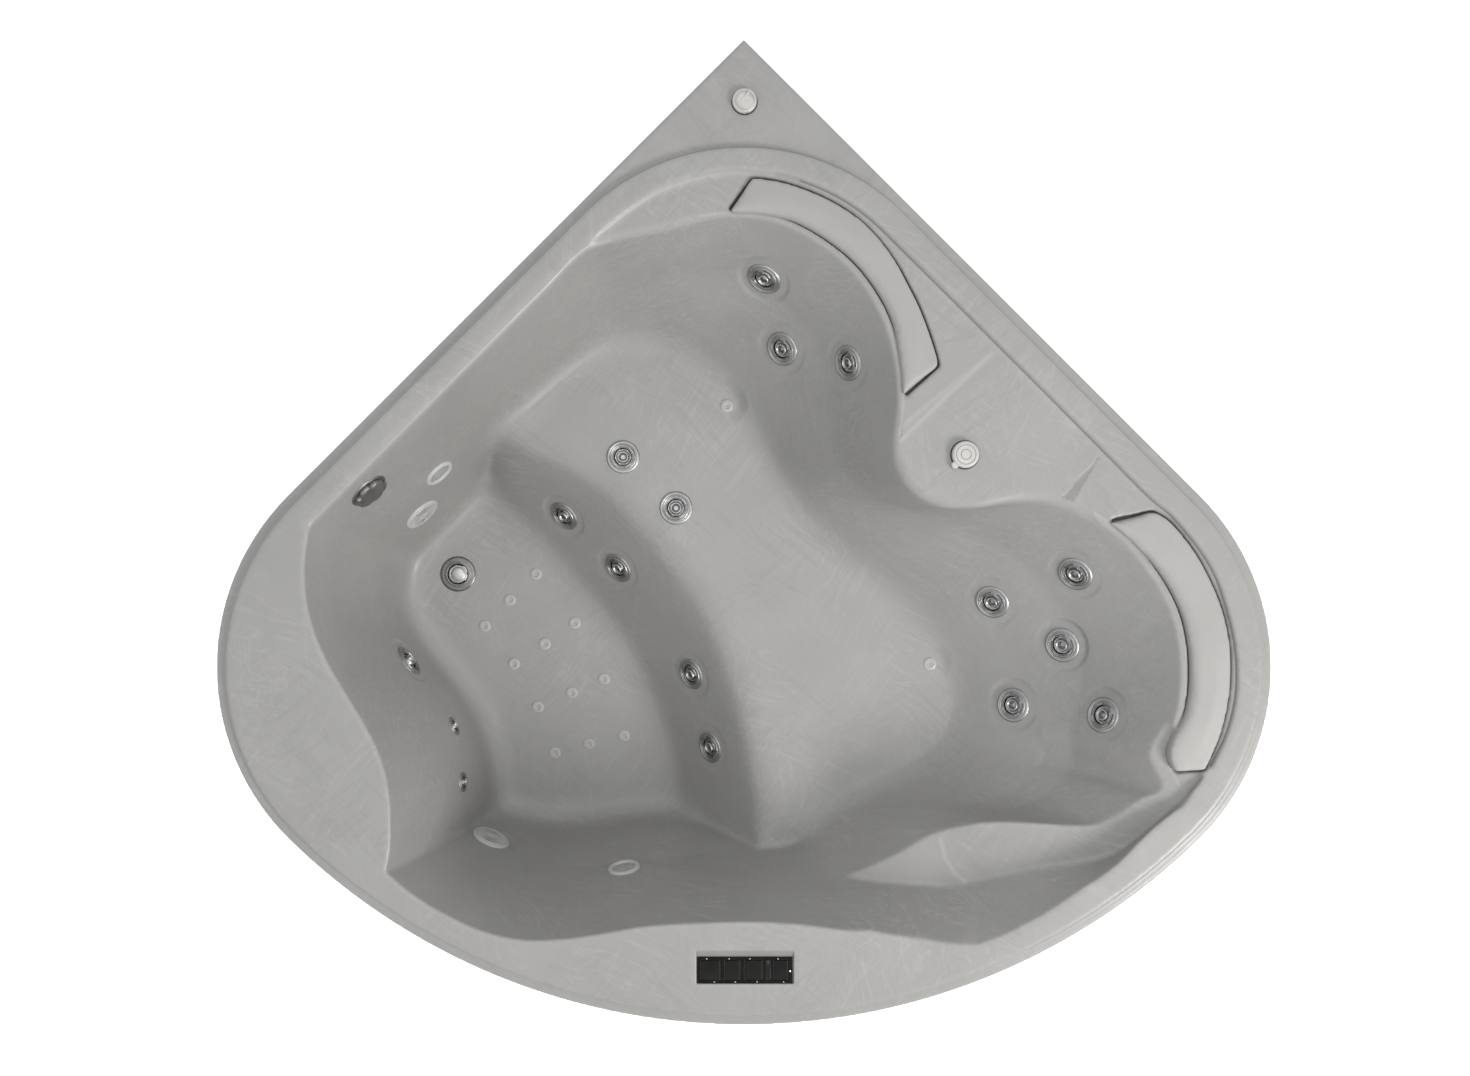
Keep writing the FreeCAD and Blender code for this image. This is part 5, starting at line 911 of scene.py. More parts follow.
# ------------------------------------------------------------------ control panel
def make_panel_recess():
    x0, y0, x1, y1 = PAD
    top = ZR + 0.06

    def rect(a, b, c, d, r, z, n=5):
        pts = []
        for cx, cy, s in ((c - r, d - r, 0), (a + r, d - r, 90), (a + r, b + r, 180), (c - r, b + r, 270)):
            for i in range(n):
                t = math.radians(s + 90.0 * i / (n - 1))
                pts.append((cx + r * math.cos(t), cy + r * math.sin(t), z))
        return np.array(pts)
    rings = [rect(x0 - 15, y0 - 15, x1 + 15, y1 + 15, 3.0, top - 0.05), rect(x0 - 14, y0 - 14, x1 + 14, y1 + 14, 3.0, top),
             rect(x0 - 1.4, y0 - 1.4, x1 + 1.4, y1 + 1.4, 3.4, top), rect(x0 - 0.5, y0 - 0.5, x1 + 0.5, y1 + 0.5, 2.6, top - 0.35),
             rect(x0, y0, x1, y1, 2.2, top - 1.2), rect(x0 + 0.1, y0 + 0.1, x1 - 0.1, y1 - 0.1, 2.1, 579.6),
             rect(x0 + 0.5, y0 + 0.5, x1 - 0.5, y1 - 0.5, 1.8, 578.9)]
    fold = rings[-1].copy()
    ob = band("t", rings, False)
    me_v = [tuple(np.array(v.co) * 1000.0) for v in ob.data.vertices]
    me_f = [list(p.vertices) for p in ob.data.polygons]
    k = len(me_v)
    me_v += [tuple(p) for p in fold]
    me_f.append([k + i for i in range(len(fold))])
    # sloping lead-in along the inner edge
    k = len(me_v)
    for yy, zz in ((y1 + 0.2, 583.2), (y1 - 1.2, 582.9), (y1 - 9.6, 580.3), (y1 - 11.2, 579.4), (y1 - 11.3, 578.8)):
        me_v += [(x0 + 0.2, yy, zz), (x1 - 0.2, yy, zz)]
    for i in range(4):
        me_f.append([k + 2 * i, k + 2 * i + 2, k + 2 * i + 3, k + 2 * i + 1])
    drop_object(ob)
    res = new_object("panel_recess", me_v, me_f)
    # painted shade on the sloping lead-in, darker towards its bottom
    att = res.data.attributes.new("painted_shade", "FLOAT", "POINT")
    n0 = len(me_v) - 10
    att.data.foreach_set("value", [0.0] * n0 + [0.30, 0.30, 0.42, 0.42, 0.55, 0.55, 0.8, 0.8, 1.0, 1.0])
    return shade(res, 40)


def make_panel():
    lo, hi = (-80.0, -770.0, 579.0), (83.0, -725.7, 582.0)
    plate = bevelled_box("panel_frame", lo, hi, 0)
    cuts = [(x0 - 0.6, KEY_Y - 17.6, x1 + 0.6, KEY_Y + 17.6) for x0, x1 in KEYS] + [(36.9, KEY_Y - 17.3, 46.2, KEY_Y + 17.3)]
    for a, b, c, d in cuts:
        boolean(plate, bevelled_box("t", (a, b, 570.0), (c, d, 590.0), 0), "DIFFERENCE")
    bevel(plate, 0.55, 2)
    tub = bevelled_box("t", (-77.5, -767.4, 552.0), (80.5, -728.2, 576.8), 1.0, 2)
    # small faintly glowing dots at the key edges: painted glints
    dots = []
    for i, (x0, x1) in enumerate(KEYS):
        for yy in (KEY_Y + 19.6, KEY_Y - 19.8):
            dots.append(turned("t", [upright(x0 + (x1 - x0) * (0.3 if yy > KEY_Y else 0.7), yy, 582.0)], [0.9, 0.9, 0.6, 0.2], [-0.3, 0.25, 0.5, 0.6], 16))
    return shade(join("panel_frame", [plate, tub]), 30), shade(join("panel_glint_dots", dots), 30)


def make_key(i):
    x0, x1 = KEYS[i]
    nx, ny = 15, 31
    y0, y1 = KEY_Y - 16.6, KEY_Y + 16.6
    u = np.concatenate([[0.0], 0.06 * np.linspace(0.05, 1, 3) ** 0.7, np.linspace(0.12, 0.88, nx - 8), 1 - 0.06 * np.linspace(1, 0.05, 3) ** 0.7, [1.0]])
    v = np.concatenate([[0.0], 0.03 * np.linspace(0.08, 1, 3) ** 0.7, np.linspace(0.06, 0.94, ny - 8), 1 - 0.03 * np.linspace(1, 0.08, 3) ** 0.7, [1.0]])
    U, W = np.meshgrid(u, v, indexing="ij")
    s = 2 * W - 1
    z = 582.6 - 1.25 * (1 - np.abs(s) ** 1.3) + np.zeros_like(U)
    dish = 0.35 * np.exp(-((np.abs(s) - 0.55) / 0.28) ** 2 - ((U - 0.5) / 0.33) ** 2)
    z = z - dish
    ex = np.minimum(U, 1 - U) * (x1 - x0)
    ey = np.minimum(W, 1 - W) * (y1 - y0)
    e = np.minimum(ex, ey)
    z = z - 0.9 * (1 - np.clip(e / 0.9, 0, 1)) ** 2
    X, Y = x0 + U * (x1 - x0), y0 + W * (y1 - y0)
    a, b = U.shape
    verts = [(X[p, q], Y[p, q], z[p, q]) for p in range(a) for q in range(b)]
    faces = [[p * b + q, (p + 1) * b + q, (p + 1) * b + q + 1, p * b + q + 1] for p in range(a - 1) for q in range(b - 1)]
    loop = [p * b for p in range(a)] + [(a - 1) * b + q for q in range(1, b)] + [p * b + b - 1 for p in range(a - 2, -1, -1)] + [q for q in range(b - 2, 0, -1)]
    k = len(verts)
    verts += [(verts[i2][0], verts[i2][1], 578.2) for i2 in loop]
    n = len(loop)
    faces += [[loop[j], k + j, k + (j + 1) % n, loop[(j + 1) % n]] for j in range(n)]
    faces.append([k + j for j in range(n)])
    top = new_object("t", verts, faces)
    rib = bevelled_box("t", (x0 + 1.0, KEY_Y - 2.4, 572.8), (x1 - 1.0, KEY_Y + 2.4, 578.6), 0.4, 1)
    return shade(join("key_%d" % (i + 1), [top, rib]), 40)


def make_display():
    strip = bevelled_box("display_strip", (37.1, KEY_Y - 17.1, 580.9), (46.1, KEY_Y + 17.1, 582.35), 0.5, 3)
    lamp = turned("panel_lamp", [upright(78.9, -749.2, 581.0)], [1.3, 1.3, 1.1, 0.7, 0.2], [0.0, 1.2, 1.7, 2.0, 2.1], 32)
    return shade(strip, 40), shade(lamp, 40)


# ------------------------------------------------------------------ head rests
def make_rest(tag, arc, back):
    o = rest_outline(arc, back, -0.9)
    block = stack_mesh("rest", [with_z(o, ZREST + 1.2), with_z(o, 586.2)])
    boolean(block, stack_mesh("t", [with_z(offset(UT, 3.9), 540.0), with_z(offset(UT, 3.9), 640.0)]), "DIFFERENCE")
    voxel(block, 4.5)
    co, ls, li, ed = arrays(block.data)
    edge = dist_line(co[:, 0], co[:, 1], np.array(open_curve(arc, 4)))
    w = 0.16 + 0.26 * smooth_step(edge, 12.0, 60.0)
    co = relax(co, ed, w, 12)
    drop_object(block)
    ob = mesh_from_arrays("head_rest_" + tag, co, ls, li)
    start = co.copy()
    m = ob.modifiers.new("c", "CLOTH")
    st = m.settings
    st.use_pressure = True
    st.uniform_pressure_force = 4.0
    st.effector_weights.gravity = 0.0
    st.quality = 4
    st.mass = 0.3
    st.tension_stiffness = 18
    st.compression_stiffness = 18
    st.bending_stiffness = 2.0
    m.collision_settings.use_collision = False
    sc = bpy.context.scene
    m.point_cache.frame_start = 1
    m.point_cache.frame_end = 20
    for f in range(1, 21):
        sc.frame_set(f)
    apply_all(ob)
    sc.frame_set(1)
    n = len(ob.data.vertices)
    now = np.empty(n * 3, np.float32)
    ob.data.vertices.foreach_get("co", now)
    now = now.reshape(-1, 3).astype(float) * 1000.0
    d = now - start
    ln = np.linalg.norm(d, axis=1)
    cap = 0.5 + 2.6 * smooth_step(edge, 8.0, 30.0)
    d *= np.minimum(1.0, cap / np.maximum(ln, 1e-6))[:, None]
    now = start + d
    now[:, 2] = np.maximum(now[:, 2], ZREST + 0.3)
    ob.data.vertices.foreach_set("co", (now * 0.001).astype(np.float32).ravel())
    ob.data.update()
    m = ob.modifiers.new("s", "SUBSURF")
    m.levels = 1
    apply_all(ob)
    ob.data.shade_smooth()
    return ob


# ------------------------------------------------------------------ materials
class Tree:
    def __init__(self, name):
        self.mat = bpy.data.materials.new(name)
        self.mat.use_nodes = True
        self.t = self.mat.node_tree
        self.t.nodes.clear()
        self.out = self.n("ShaderNodeOutputMaterial")
        self.b = self.n("ShaderNodeBsdfPrincipled")
        self.link(self.b.outputs[0], self.out.inputs[0])
        self.tc = self.n("ShaderNodeTexCoord")
        self.obj = self.tc.outputs["Object"]

    def n(self, kind):
        return self.t.nodes.new(kind)

    def link(self, a, b):
        self.t.links.new(a, b)
        return b

    def put(self, sock, v):
        if hasattr(v, "is_output"):
            self.link(v, sock)
        else:
            sock.default_value = v

    def noise(self, vec, scale, detail=2.0, rough=0.5, dist=0.0, w=None):
        n = self.n("ShaderNodeTexNoise")
        self.link(vec, n.inputs["Vector"])
        n.inputs["Scale"].default_value = scale
        n.inputs["Detail"].default_value = detail
        n.inputs["Roughness"].default_value = rough
        n.inputs["Distortion"].default_value = dist
        return n.outputs[0]

    def turn(self, vec, rot, scale=(1, 1, 1), move=(0, 0, 0)):
        m = self.n("ShaderNodeMapping")
        m.vector_type = "POINT"
        self.link(vec, m.inputs["Vector"])
        m.inputs["Location"].default_value = move
        m.inputs["Rotation"].default_value = [math.radians(a) for a in rot]
        m.inputs["Scale"].default_value = scale
        return m.outputs[0]

    def stretch(self, vec, scale):
        m = self.n("ShaderNodeVectorMath")
        m.operation = "MULTIPLY"
        self.link(vec, m.inputs[0])
        m.inputs[1].default_value = scale
        return m.outputs[0]

    def vadd(self, a, b, k):
        m = self.n("ShaderNodeVectorMath")
        m.operation = "MULTIPLY_ADD"
        self.link(b, m.inputs[0])
        m.inputs[1].default_value = (k, k, k)
        self.link(a, m.inputs[2])
        return m.outputs[0]

    def math(self, op, a, b=None, c=None, clamp=False):
        m = self.n("ShaderNodeMath")
        m.operation = op
        m.use_clamp = clamp
        for i, v in enumerate((a, b, c)):
            if v is not None:
                self.put(m.inputs[i], v)
        return m.outputs[0]

    def ramp(self, v, lo, hi, a=0.0, b=1.0):
        m = self.n("ShaderNodeMapRange")
        m.clamp = True
        self.link(v, m.inputs["Value"])
        m.inputs["From Min"].default_value = lo
        m.inputs["From Max"].default_value = hi
        m.inputs["To Min"].default_value = a
        m.inputs["To Max"].default_value = b
        return m.outputs[0]

    def mix(self, f, a, b):
        m = self.n("ShaderNodeMix")
        m.data_type = "RGBA"
        self.put(m.inputs[0], f)
        for s, v in ((m.inputs[6], a), (m.inputs[7], b)):
            if hasattr(v, "is_output"):
                self.link(v, s)
            else:
                s.default_value = (v[0], v[1], v[2], 1.0)
        return m.outputs[2]

    def bump(self, h, strength, dist=0.001, base=None):
        m = self.n("ShaderNodeBump")
        m.inputs["Strength"].default_value = strength
        m.inputs["Distance"].default_value = dist
        self.link(h, m.inputs["Height"])
        if base is not None:
            self.link(base, m.inputs["Normal"])
        return m.outputs[0]

    def done(self, color, rough, normal=None, **k):
        self.put(self.b.inputs["Base Color"], color)
        self.put(self.b.inputs["Roughness"], rough)
        if normal is not None:
            self.link(normal, self.b.inputs["Normal"])
        for key, v in k.items():
            self.b.inputs[key.replace("_", " ")].default_value = v
        return self.mat


def strand_field(t, vec, rot, along, across, wide, seed):
    p = t.turn(vec, rot, move=(seed * 1.37, seed * 0.71, seed * 2.11))
    p = t.stretch(p, (along, across, across))
    n = t.noise(p, 1.0, 1.0, 0.4, 0.0)
    d = t.math("ABSOLUTE", t.math("SUBTRACT", n, 0.5))
    return t.ramp(d, 0.0, wide, 1.0, 0.0)


def mat_acrylic():
    t = Tree("acrylic_shell")
    low = t.n("ShaderNodeTexNoise")
    t.link(t.obj, low.inputs["Vector"])
    low.inputs["Scale"].default_value = 3.4
    low.inputs["Detail"].default_value = 1.0
    bent = t.vadd(t.obj, low.outputs[1], 0.07)
    geo = t.n("ShaderNodeNewGeometry")
    sep = t.n("ShaderNodeSeparateXYZ")
    t.link(geo.outputs["Normal"], sep.inputs[0])
    flat = t.ramp(t.math("ABSOLUTE", sep.outputs[2]), 0.55, 0.85)
    level, steep = t.math("MULTIPLY_ADD", flat, 0.5, 0.5), t.math("SUBTRACT", 1.0, flat)
    base = ACRYLIC
    dark = [c * 0.86 for c in base]
    light = [min(1.0, c * 1.34) for c in base]
    mott = t.noise(t.obj, 7.0, 4.0, 0.6)
    color = t.mix(t.ramp(mott, 0.3, 0.7), [c * 0.955 for c in base], [c * 1.035 for c in base])
    fine = None
    for i, (rot, al, ac, wd, amt) in enumerate((
            ((5, 4, 24), 2.3, 62.0, 0.038, 0.26), ((-6, 5, -58), 2.1, 56.0, 0.036, 0.25), ((7, -5, 82), 2.6, 68.0, 0.038, 0.22),
            ((-30, 25, -20), 2.4, 74.0, 0.036, 0.40), ((40, 34, 50), 2.8, 82.0, 0.038, 0.36))):
        f = strand_field(t, bent, rot, al, ac, wd, i + 1.0)
        patch = t.ramp(t.noise(t.turn(t.obj, (0, 0, 0), move=(3.1 * i, 1.7 * i, 0.9 * i)), 5.5, 2.0), 0.46, 0.62)
        f = t.math("MULTIPLY", t.math("MULTIPLY", f, patch), t.math("MULTIPLY", level if i < 3 else steep, amt))
        color = t.mix(f, color, light)
        fine = f if fine is None else t.math("MAXIMUM", fine, f)
    for i, (rot, al, ac, wd, amt) in enumerate((((5, -6, 40), 2.8, 54.0, 0.055, 0.50), ((-6, 7, -35), 2.6, 60.0, 0.055, 0.46),
                                                 ((35, 20, 5), 3.0, 66.0, 0.055, 0.42))):
        f = strand_field(t, bent, rot, al, ac, wd, i + 11.0)
        patch = t.ramp(t.noise(t.turn(t.obj, (0, 0, 0), move=(-2.3 * i, 4.1, 1.3 * i)), 6.5, 2.0), 0.44, 0.64)
        f = t.math("MULTIPLY", t.math("MULTIPLY", f, patch), t.math("MULTIPLY", level if i < 2 else steep, amt))
        color = t.mix(f, color, dark)
    smear = t.noise(t.obj, 11.0, 3.0, 0.55)
    # painted shade along the deck creases, steps, knob rings and panel lead-in, and painted highlight along the lit
    # crease edges and lips
    for name, amt, tone in (("painted_shade", 0.80, [c * 0.34 for c in base]), ("ridge", 0.80, [c * 1.30 for c in base])):
        at = t.n("ShaderNodeAttribute")
        at.attribute_name = name
        color = t.mix(t.math("MULTIPLY", at.outputs["Fac"], amt), color, tone)
    rough = t.ramp(smear, 0.3, 0.75, 0.36, 0.48)
    rough = t.math("SUBTRACT", rough, t.math("MULTIPLY", fine, 0.10))
    peel = t.noise(t.obj, 85.0, 2.0, 0.5)
    b = t.bump(peel, 0.05, 0.0008)
    b = t.bump(fine, 0.05, 0.0004, b)
    return t.done(color, rough, b, IOR=1.49, Coat_Weight=0.12, Coat_Roughness=0.22)


def mat_resin():
    t = Tree("fibreglass_back")
    tan, pale = (0.46, 0.44, 0.38), (0.66, 0.64, 0.58)
    m = t.noise(t.obj, 14.0, 5.0, 0.65)
    color = t.mix(t.ramp(m, 0.32, 0.68), tan, pale)
    h = None
    for i, rot in enumerate(((0, 0, 15), (10, 0, 75), (60, 20, -40), (30, 70, 10))):
        f = strand_field(t, t.obj, rot, 30.0, 330.0, 0.05, i + 3.0)
        color = t.mix(t.math("MULTIPLY", f, 0.35), color, (0.78, 0.76, 0.70))
        h = f if h is None else t.math("MAXIMUM", h, f)
    lumps = t.noise(t.obj, 34.0, 4.0, 0.6)
    b = t.bump(lumps, 0.55, 0.004)
    b = t.bump(h, 0.30, 0.0012, b)
    return t.done(color, t.ramp(lumps, 0.3, 0.7, 0.38, 0.62), b)


def mat_pillow():
    t = Tree("rest_skin")
    c = PILLOW
    m = t.noise(t.obj, 9.0, 4.0, 0.6)
    color = t.mix(t.ramp(m, 0.3, 0.7), [v * 0.95 for v in c], [v * 1.03 for v in c])
    v = t.n("ShaderNodeTexVoronoi")
    v.feature = "DISTANCE_TO_EDGE"
    t.link(t.obj, v.inputs["Vector"])
    v.inputs["Scale"].default_value = 620.0
    grain = t.ramp(v.outputs[0], 0.0, 0.35)
    color = t.mix(t.math("MULTIPLY", t.math("SUBTRACT", 1.0, grain), 0.16), color, [q * 0.72 for q in c])
    crease = t.noise(t.stretch(t.obj, (1.0, 1.0, 0.4)), 22.0, 2.0, 0.5)
    b = t.bump(grain, 0.22, 0.0004)
    b = t.bump(crease, 0.10, 0.003, b)
    return t.done(color, t.ramp(m, 0.3, 0.7, 0.44, 0.58), b, Sheen_Weight=0.08, Sheen_Roughness=0.5)


def mat_metal(name, dark, light, r0, r1, brushed=60.0):
    t = Tree(name)
    m = t.noise(t.obj, 42.0, 3.0, 0.6)
    color = t.mix(t.ramp(m, 0.3, 0.7), dark, light)
    scr = None
    for i, rot in enumerate(((20, 10, 30), (70, 40, -50), (35, 80, 10))):
        f = strand_field(t, t.obj, rot, 60.0, 1500.0, 0.02, i + 5.0)
        scr = f if scr is None else t.math("MAXIMUM", scr, f)
    spots = t.ramp(t.noise(t.obj, 420.0, 1.0, 0.4), 0.66, 0.74)
    rough = t.ramp(t.noise(t.obj, 90.0, 3.0, 0.6), 0.3, 0.7, r0, r1)
    rough = t.math("ADD", rough, t.math("MULTIPLY", scr, 0.12))
    rough = t.math("ADD", rough, t.math("MULTIPLY", spots, 0.16), clamp=True)
    # painted shade: points in a ring-shaped gap are darkened to near black
    at = t.n("ShaderNodeAttribute")
    at.attribute_name = "painted_gap_shade"
    color = t.mix(t.math("MULTIPLY", at.outputs["Fac"], 0.88), color, (0.035, 0.034, 0.033))
    b = t.bump(scr, 0.06, 0.0002)
    return t.done(color, rough, b, Metallic=1.0)


def mat_plastic(name, dark, light, r0, r1, grain=900.0, bump=0.10, speck=None, **k):
    t = Tree(name)
    m = t.noise(t.obj, 26.0, 4.0, 0.6)
    color = t.mix(t.ramp(m, 0.3, 0.7), dark, light)
    g = t.noise(t.obj, grain, 2.0, 0.5)
    if speck:
        s = t.ramp(t.noise(t.obj, grain * 0.35, 2.0), 0.64, 0.72)
        color = t.mix(t.math("MULTIPLY", s, 0.5), color, speck)
    scuff = strand_field(t, t.obj, (25, 15, 35), 40.0, 700.0, 0.03, 2.0)
    rough = t.math("ADD", t.ramp(m, 0.3, 0.7, r0, r1), t.math("MULTIPLY", scuff, 0.10), clamp=True)
    # painted shade: points in a ring-shaped gap are darkened
    at = t.n("ShaderNodeAttribute")
    at.attribute_name = "painted_gap_shade"
    color = t.mix(t.math("MULTIPLY", at.outputs["Fac"], 0.45), color, [c * 0.3 for c in dark])
    b = t.bump(g, bump, 0.0003)
    return t.done(color, rough, b, **k)


def mat_ply():
    t = Tree("marine_ply")
    p = t.stretch(t.obj, (1.0, 9.0, 3.0))
    rings = t.noise(p, 3.2, 5.0, 0.62, 1.2)
    g = t.noise(t.stretch(t.obj, (6.0, 160.0, 60.0)), 4.0, 3.0, 0.6)
    color = t.mix(t.ramp(rings, 0.34, 0.66), (0.36, 0.21, 0.105), (0.60, 0.41, 0.235))
    color = t.mix(t.ramp(g, 0.45, 0.75, 0.0, 0.5), color, (0.26, 0.145, 0.07))
    ply = t.noise(t.stretch(t.obj, (0.5, 0.5, 330.0)), 1.0, 0.0)
    color = t.mix(t.ramp(ply, 0.5, 0.56, 0.0, 0.35), color, (0.30, 0.17, 0.08))
    return t.done(color, t.ramp(rings, 0.3, 0.7, 0.55, 0.75), t.bump(g, 0.25, 0.0008))


def mat_galvanised():
    t = Tree("galvanised_steel")
    v = t.n("ShaderNodeTexVoronoi")
    t.link(t.vadd(t.obj, t.noise(t.obj, 40.0, 2.0), 0.02), v.inputs["Vector"])
    v.inputs["Scale"].default_value = 70.0
    bw = t.n("ShaderNodeRGBToBW")
    t.link(v.outputs["Color"], bw.inputs[0])
    m = t.noise(t.obj, 12.0, 4.0, 0.6)
    color = t.mix(bw.outputs[0], (0.36, 0.37, 0.38), (0.56, 0.57, 0.58))
    color = t.mix(t.ramp(m, 0.55, 0.8, 0.0, 0.4), color, (0.62, 0.62, 0.60))
    rough = t.ramp(bw.outputs[0], 0.0, 1.0, 0.30, 0.52)
    return t.done(color, rough, t.bump(t.noise(t.obj, 220.0, 3.0), 0.12, 0.0004), Metallic=0.9)


def mat_lens():
    t = Tree("lamp_lens")
    m = t.noise(t.obj, 60.0, 3.0, 0.6)
    color = t.mix(t.ramp(m, 0.3, 0.7), (0.30, 0.31, 0.31), (0.40, 0.41, 0.41))
    g = t.noise(t.obj, 500.0, 2.0)
    return t.done(color, t.ramp(m, 0.3, 0.7, 0.10, 0.20), t.bump(g, 0.08, 0.0003), Coat_Weight=0.6, Coat_Roughness=0.05)


def mat_glow(name, c0, c1, power):
    t = Tree(name)
    m = t.noise(t.obj, 800.0, 2.0)
    color = t.mix(t.ramp(m, 0.3, 0.7), c0, c1)
    t.link(color, t.b.inputs["Emission Color"])
    return t.done(color, t.ramp(m, 0.3, 0.7, 0.2, 0.35), t.bump(m, 0.05, 0.0002), Emission_Strength=power)


def mat_floor():
    t = Tree("studio_floor")
    m = t.noise(t.obj, 1.6, 4.0, 0.6)
    g = t.noise(t.obj, 260.0, 3.0, 0.6)
    color = t.mix(t.ramp(m, 0.3, 0.7), (0.90, 0.90, 0.895), (0.93, 0.93, 0.93))
    t.link(color, t.b.inputs["Emission Color"])
    return t.done(color, t.ramp(m, 0.3, 0.7, 0.75, 0.9), t.bump(g, 0.05, 0.0005), Emission_Strength=FLOOR_GLOW)


# ------------------------------------------------------------------ colours and levels
ACRYLIC = (0.303, 0.299, 0.290)
PILLOW = (0.356, 0.349, 0.338)
FLOOR_GLOW = 0.55

acrylic = mat_acrylic()
resin = mat_resin()
chrome = mat_metal("satin_chrome", (0.36, 0.36, 0.355), (0.48, 0.48, 0.475), 0.34, 0.46)
# darker copy of the chrome, for the drain ring: painted shade standing in for the ring's dark reflection
chrome_painted_dark = mat_metal("chrome_with_painted_shade", (0.16, 0.155, 0.15), (0.24, 0.235, 0.23), 0.22, 0.34)
dusky = mat_metal("overflow_chrome", (0.25, 0.24, 0.23), (0.33, 0.32, 0.31), 0.36, 0.48)
bright = mat_metal("bright_chrome", (0.40, 0.40, 0.395), (0.52, 0.52, 0.515), 0.30, 0.42)
cap = mat_plastic("pale_cap_plastic", (0.465, 0.457, 0.437), (0.535, 0.527, 0.508), 0.28, 0.40, 700.0, 0.08)
grille = mat_plastic("grey_cap_plastic", (0.46, 0.46, 0.45), (0.53, 0.53, 0.52), 0.30, 0.42, 700.0, 0.08)
button = mat_plastic("injector_plastic", (0.385, 0.38, 0.37), (0.44, 0.435, 0.425), 0.30, 0.42, 700.0, 0.08)
skin = mat_pillow()
rubber = mat_plastic("black_rubber", (0.016, 0.016, 0.016), (0.030, 0.030, 0.029), 0.60, 0.78, 1100.0, 0.18)
black = mat_plastic("panel_plastic", (0.0050, 0.0048, 0.0042), (0.0080, 0.0076, 0.0070), 0.30, 0.42, 1300.0, 0.10, Specular_IOR_Level=0.10)
keys = mat_plastic("key_plastic", (0.0065, 0.0062, 0.0056), (0.0110, 0.0105, 0.0098), 0.32, 0.44, 1500.0, 0.12, Specular_IOR_Level=0.14)
glass = mat_plastic("display_glass", (0.005, 0.006, 0.006), (0.010, 0.012, 0.012), 0.08, 0.16, 500.0, 0.02, Specular_IOR_Level=0.30)
body = mat_plastic("body_plastic", (0.020, 0.020, 0.021), (0.040, 0.040, 0.040), 0.45, 0.60, 800.0, 0.15)
pvc = mat_plastic("pvc_pipe", (0.70, 0.70, 0.68), (0.80, 0.80, 0.78), 0.30, 0.45, 500.0, 0.08)
paint = mat_plastic("motor_paint", (0.055, 0.070, 0.085), (0.085, 0.100, 0.115), 0.35, 0.55, 520.0, 0.30, speck=(0.16, 0.17, 0.18))
case = mat_plastic("case_plastic", (0.33, 0.34, 0.345), (0.42, 0.43, 0.43), 0.42, 0.58, 620.0, 0.25)
zinc = mat_metal("zinc_plate", (0.48, 0.46, 0.40), (0.62, 0.60, 0.53), 0.24, 0.40)
steel = mat_galvanised()
ply = mat_ply()
lens = mat_lens()
lamp = mat_glow("panel_light", (0.95, 0.95, 0.90), (1.0, 1.0, 0.96), 1.2)
# faint glow on the key-edge dots: painted glints
glint_glow = mat_glow("panel_glint_dots", (0.60, 0.62, 0.62), (0.75, 0.76, 0.76), 0.15)
ground = mat_floor()


def dress(ob, mat):
    ob.data.materials.clear()
    ob.data.materials.append(mat)
    return ob


def place(ob, mat, body_name, slot_name, *nodes):
    dress(ob, mat)
    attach(ob, body_name)
    if nodes:
        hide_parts(*nodes)
    return ob


# ------------------------------------------------------------------ the pieces
face = make_upper()
face.data.shade_smooth()
place(face, acrylic, "tub", "acrylic", "tub_shell")
back = make_back()
back.data.shade_smooth()
place(back, resin, "tub", "acrylic")
place(shade(make_lip(), 60), acrylic, "tub", "acrylic")
place(make_panel_recess(), acrylic, "tub", "acrylic")

place(make_jet_rings(), chrome, "tub", "chrome", "jet_wall_fittings")
for i in range(17):
    place(make_nozzle(i), bright, "nozzle_%02d" % (i + 1), "chrome", "jet_nozzle_%02d" % (i + 1))
place(make_air_caps(), button, "tub", "cap_plastic", "air_injector_caps")
place(make_suction_covers(), grille, "tub", "cap_plastic", "suction_covers")
place(make_light_rings(), grille, "tub", "cap_plastic", "light_bezels")
place(make_lenses(), lens, "tub", "lens", "light_lenses")
ring, plug = make_drain()
place(ring, chrome_painted_dark, "tub", "chrome", "drain_flange")
place(plug, bright, "stopper", "chrome", "drain_stopper")
base, dial = make_overflow()
place(base, dusky, "tub", "chrome", "overflow_plate")
place(dial, dusky, "overflow_knob_body", "chrome", "overflow_knob")
place(make_air_dial(), cap, "air_knob", "cap_plastic", "air_control_knob")
place(make_corner_dial(), cap, "corner_knob", "cap_plastic", "corner_diverter_knob")
panel, dots = make_panel()
place(panel, black, "tub", "panel_black", "keypad_housing")
place(dots, glint_glow, "tub", "display")
for i in range(4):
    place(make_key(i), keys, "rocker_%d" % (i + 1), "key_black", "keypad_rocker_%d" % (i + 1))
strip, light = make_display()
place(strip, glass, "tub", "display", "keypad_display")
place(light, lamp, "tub", "display")

for tag, arc, rear in (("left", REST_A, REST_A_BACK), ("right", REST_B, REST_B_BACK)):
    rest = make_rest(tag, arc, rear)
    place(rest, skin, "tub", "pillow", "headrest_pillow_" + tag)

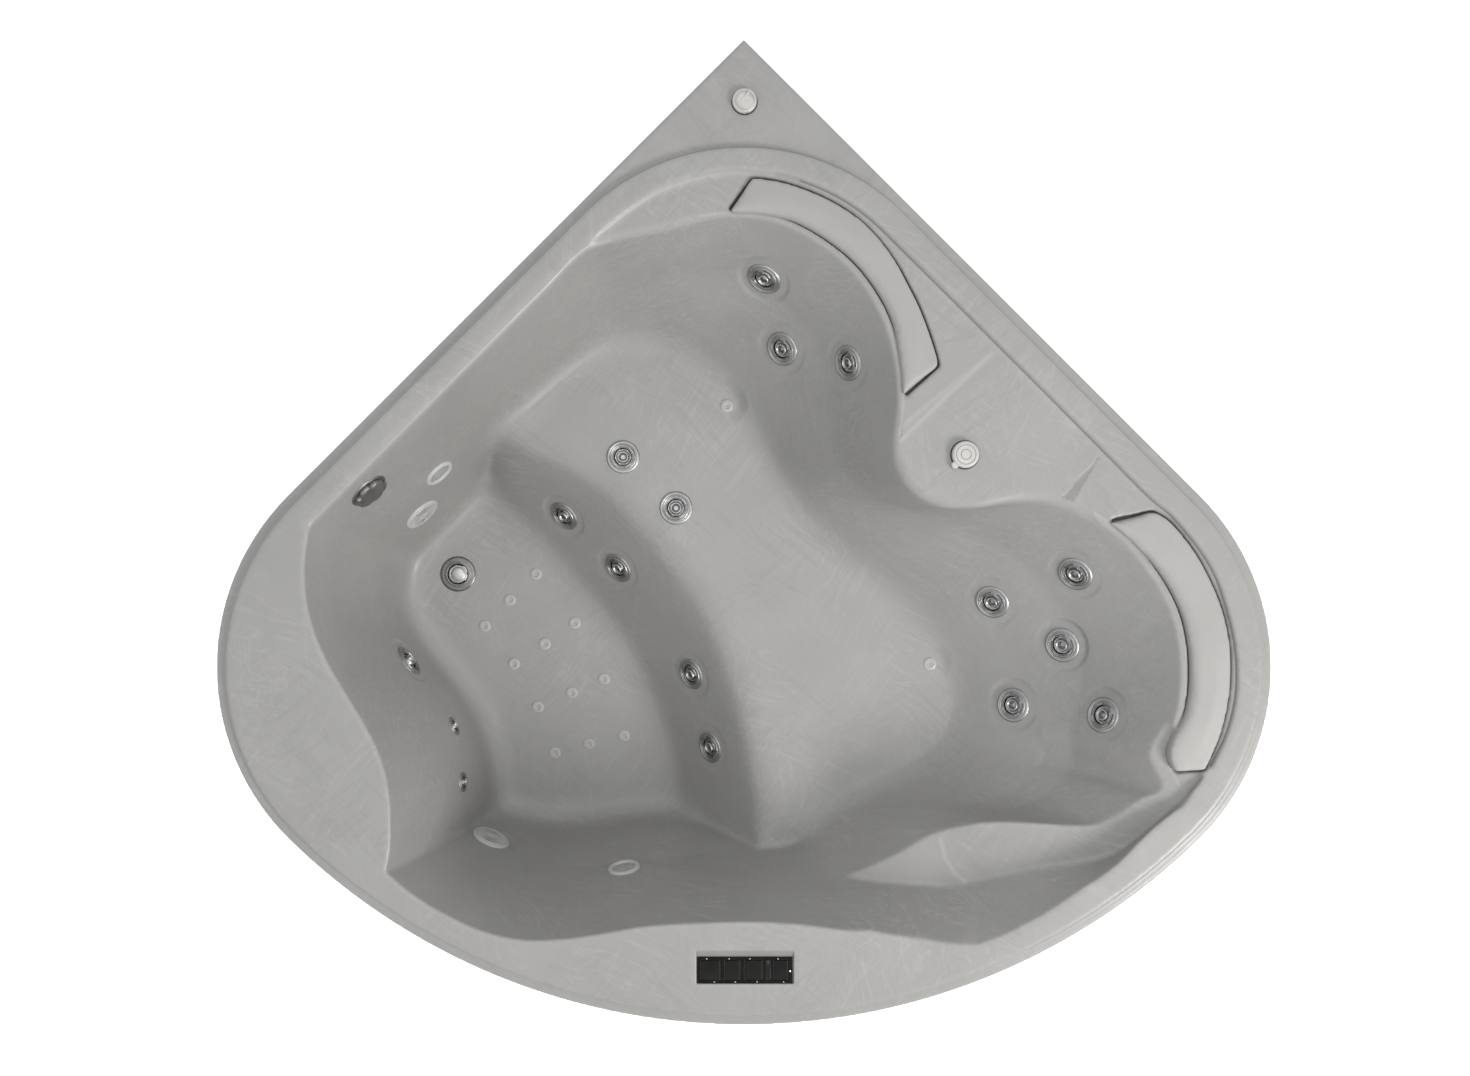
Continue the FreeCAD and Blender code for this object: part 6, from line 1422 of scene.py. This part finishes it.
FINISH = {
    "jet_gaskets": rubber, "jet_bodies": body, "air_injector_bodies": body, "suction_bodies": body, "light_housings": body,
    "drain_shoe": pvc, "overflow_pipe": pvc, "air_control_valve": body, "corner_diverter_valve": body, "pillow_studs": body,
    "pump_volute": body, "pump_motor": paint, "pump_impeller": body, "blower_housing": body, "blower_fan": body,
    "air_channel": pvc, "water_pipework": pvc, "air_pipework": pvc, "control_box": case, "support_frame": steel,
    "base_board": ply, "levelling_feet": zinc, "foot_locknuts": zinc,
}
WEAR = {"pipe_white": pvc, "body_black": body, "steel": steel, "zinc": zinc, "board": ply, "motor": paint, "case": case, "chrome": chrome,
        "cap_plastic": cap, "lens": lens, "pillow": skin, "gasket": rubber, "panel_black": black, "key_black": keys, "display": glass,
        "acrylic": acrylic}
SLOT_OF = {s["node"]: s["material_slot"] for s in frame["record"].get("subparts", [])}
for name, ob in frame["nodes"].items():
    mat = FINISH.get(name) or WEAR.get(SLOT_OF.get(name), body)
    ob.data.materials.clear()
    ob.data.materials.append(mat)

# ------------------------------------------------------------------ floor, light and camera
g = [(-6000.0 + 600.0 * i, -6000.0 + 600.0 * j, -0.4) for i in range(21) for j in range(21)]
gf = [[i * 21 + j, (i + 1) * 21 + j, (i + 1) * 21 + j + 1, i * 21 + j + 1] for i in range(20) for j in range(20)]
floor = dress(new_object("studio_floor", g, gf), ground)

scene = bpy.context.scene
scene.view_settings.view_transform = "Standard"
world = bpy.data.worlds.new("studio")
scene.world = world
world.use_nodes = True
wt = world.node_tree
wt.nodes["Background"].inputs[0].default_value = (0.985, 0.99, 1.0, 1.0)
wt.nodes["Background"].inputs[1].default_value = 0.80


def area(name, at, aim, size, power, color=(1, 1, 1)):
    d = bpy.data.lights.new(name, "AREA")
    d.shape = "DISK"
    d.size = size
    d.energy = power
    d.color = color
    o = bpy.data.objects.new(name, d)
    scene.collection.objects.link(o)
    o.location = at
    o.rotation_euler = (Vector(aim) - Vector(at)).to_track_quat("-Z", "Y").to_euler()
    return o


area("key", (2.95, -2.25, 3.32), (0.0, 0.0, 0.45), 1.6, 132.0, (1.0, 0.985, 0.965))
area("top", (0.0, 0.0, 5.4), (0.0, 0.0, 0.45), 3.0, 38.0)

cam = bpy.data.cameras.new("camera")
cam.sensor_width = 36.0
cam.lens = 32.323
cam.clip_start = 0.05
cam.clip_end = 40.0
eye = bpy.data.objects.new("camera", cam)
scene.collection.objects.link(eye)
eye.location = (-0.0153, -0.0102, 2.834)
eye.rotation_euler = (0.0, 0.0, 0.0)
scene.camera = eye
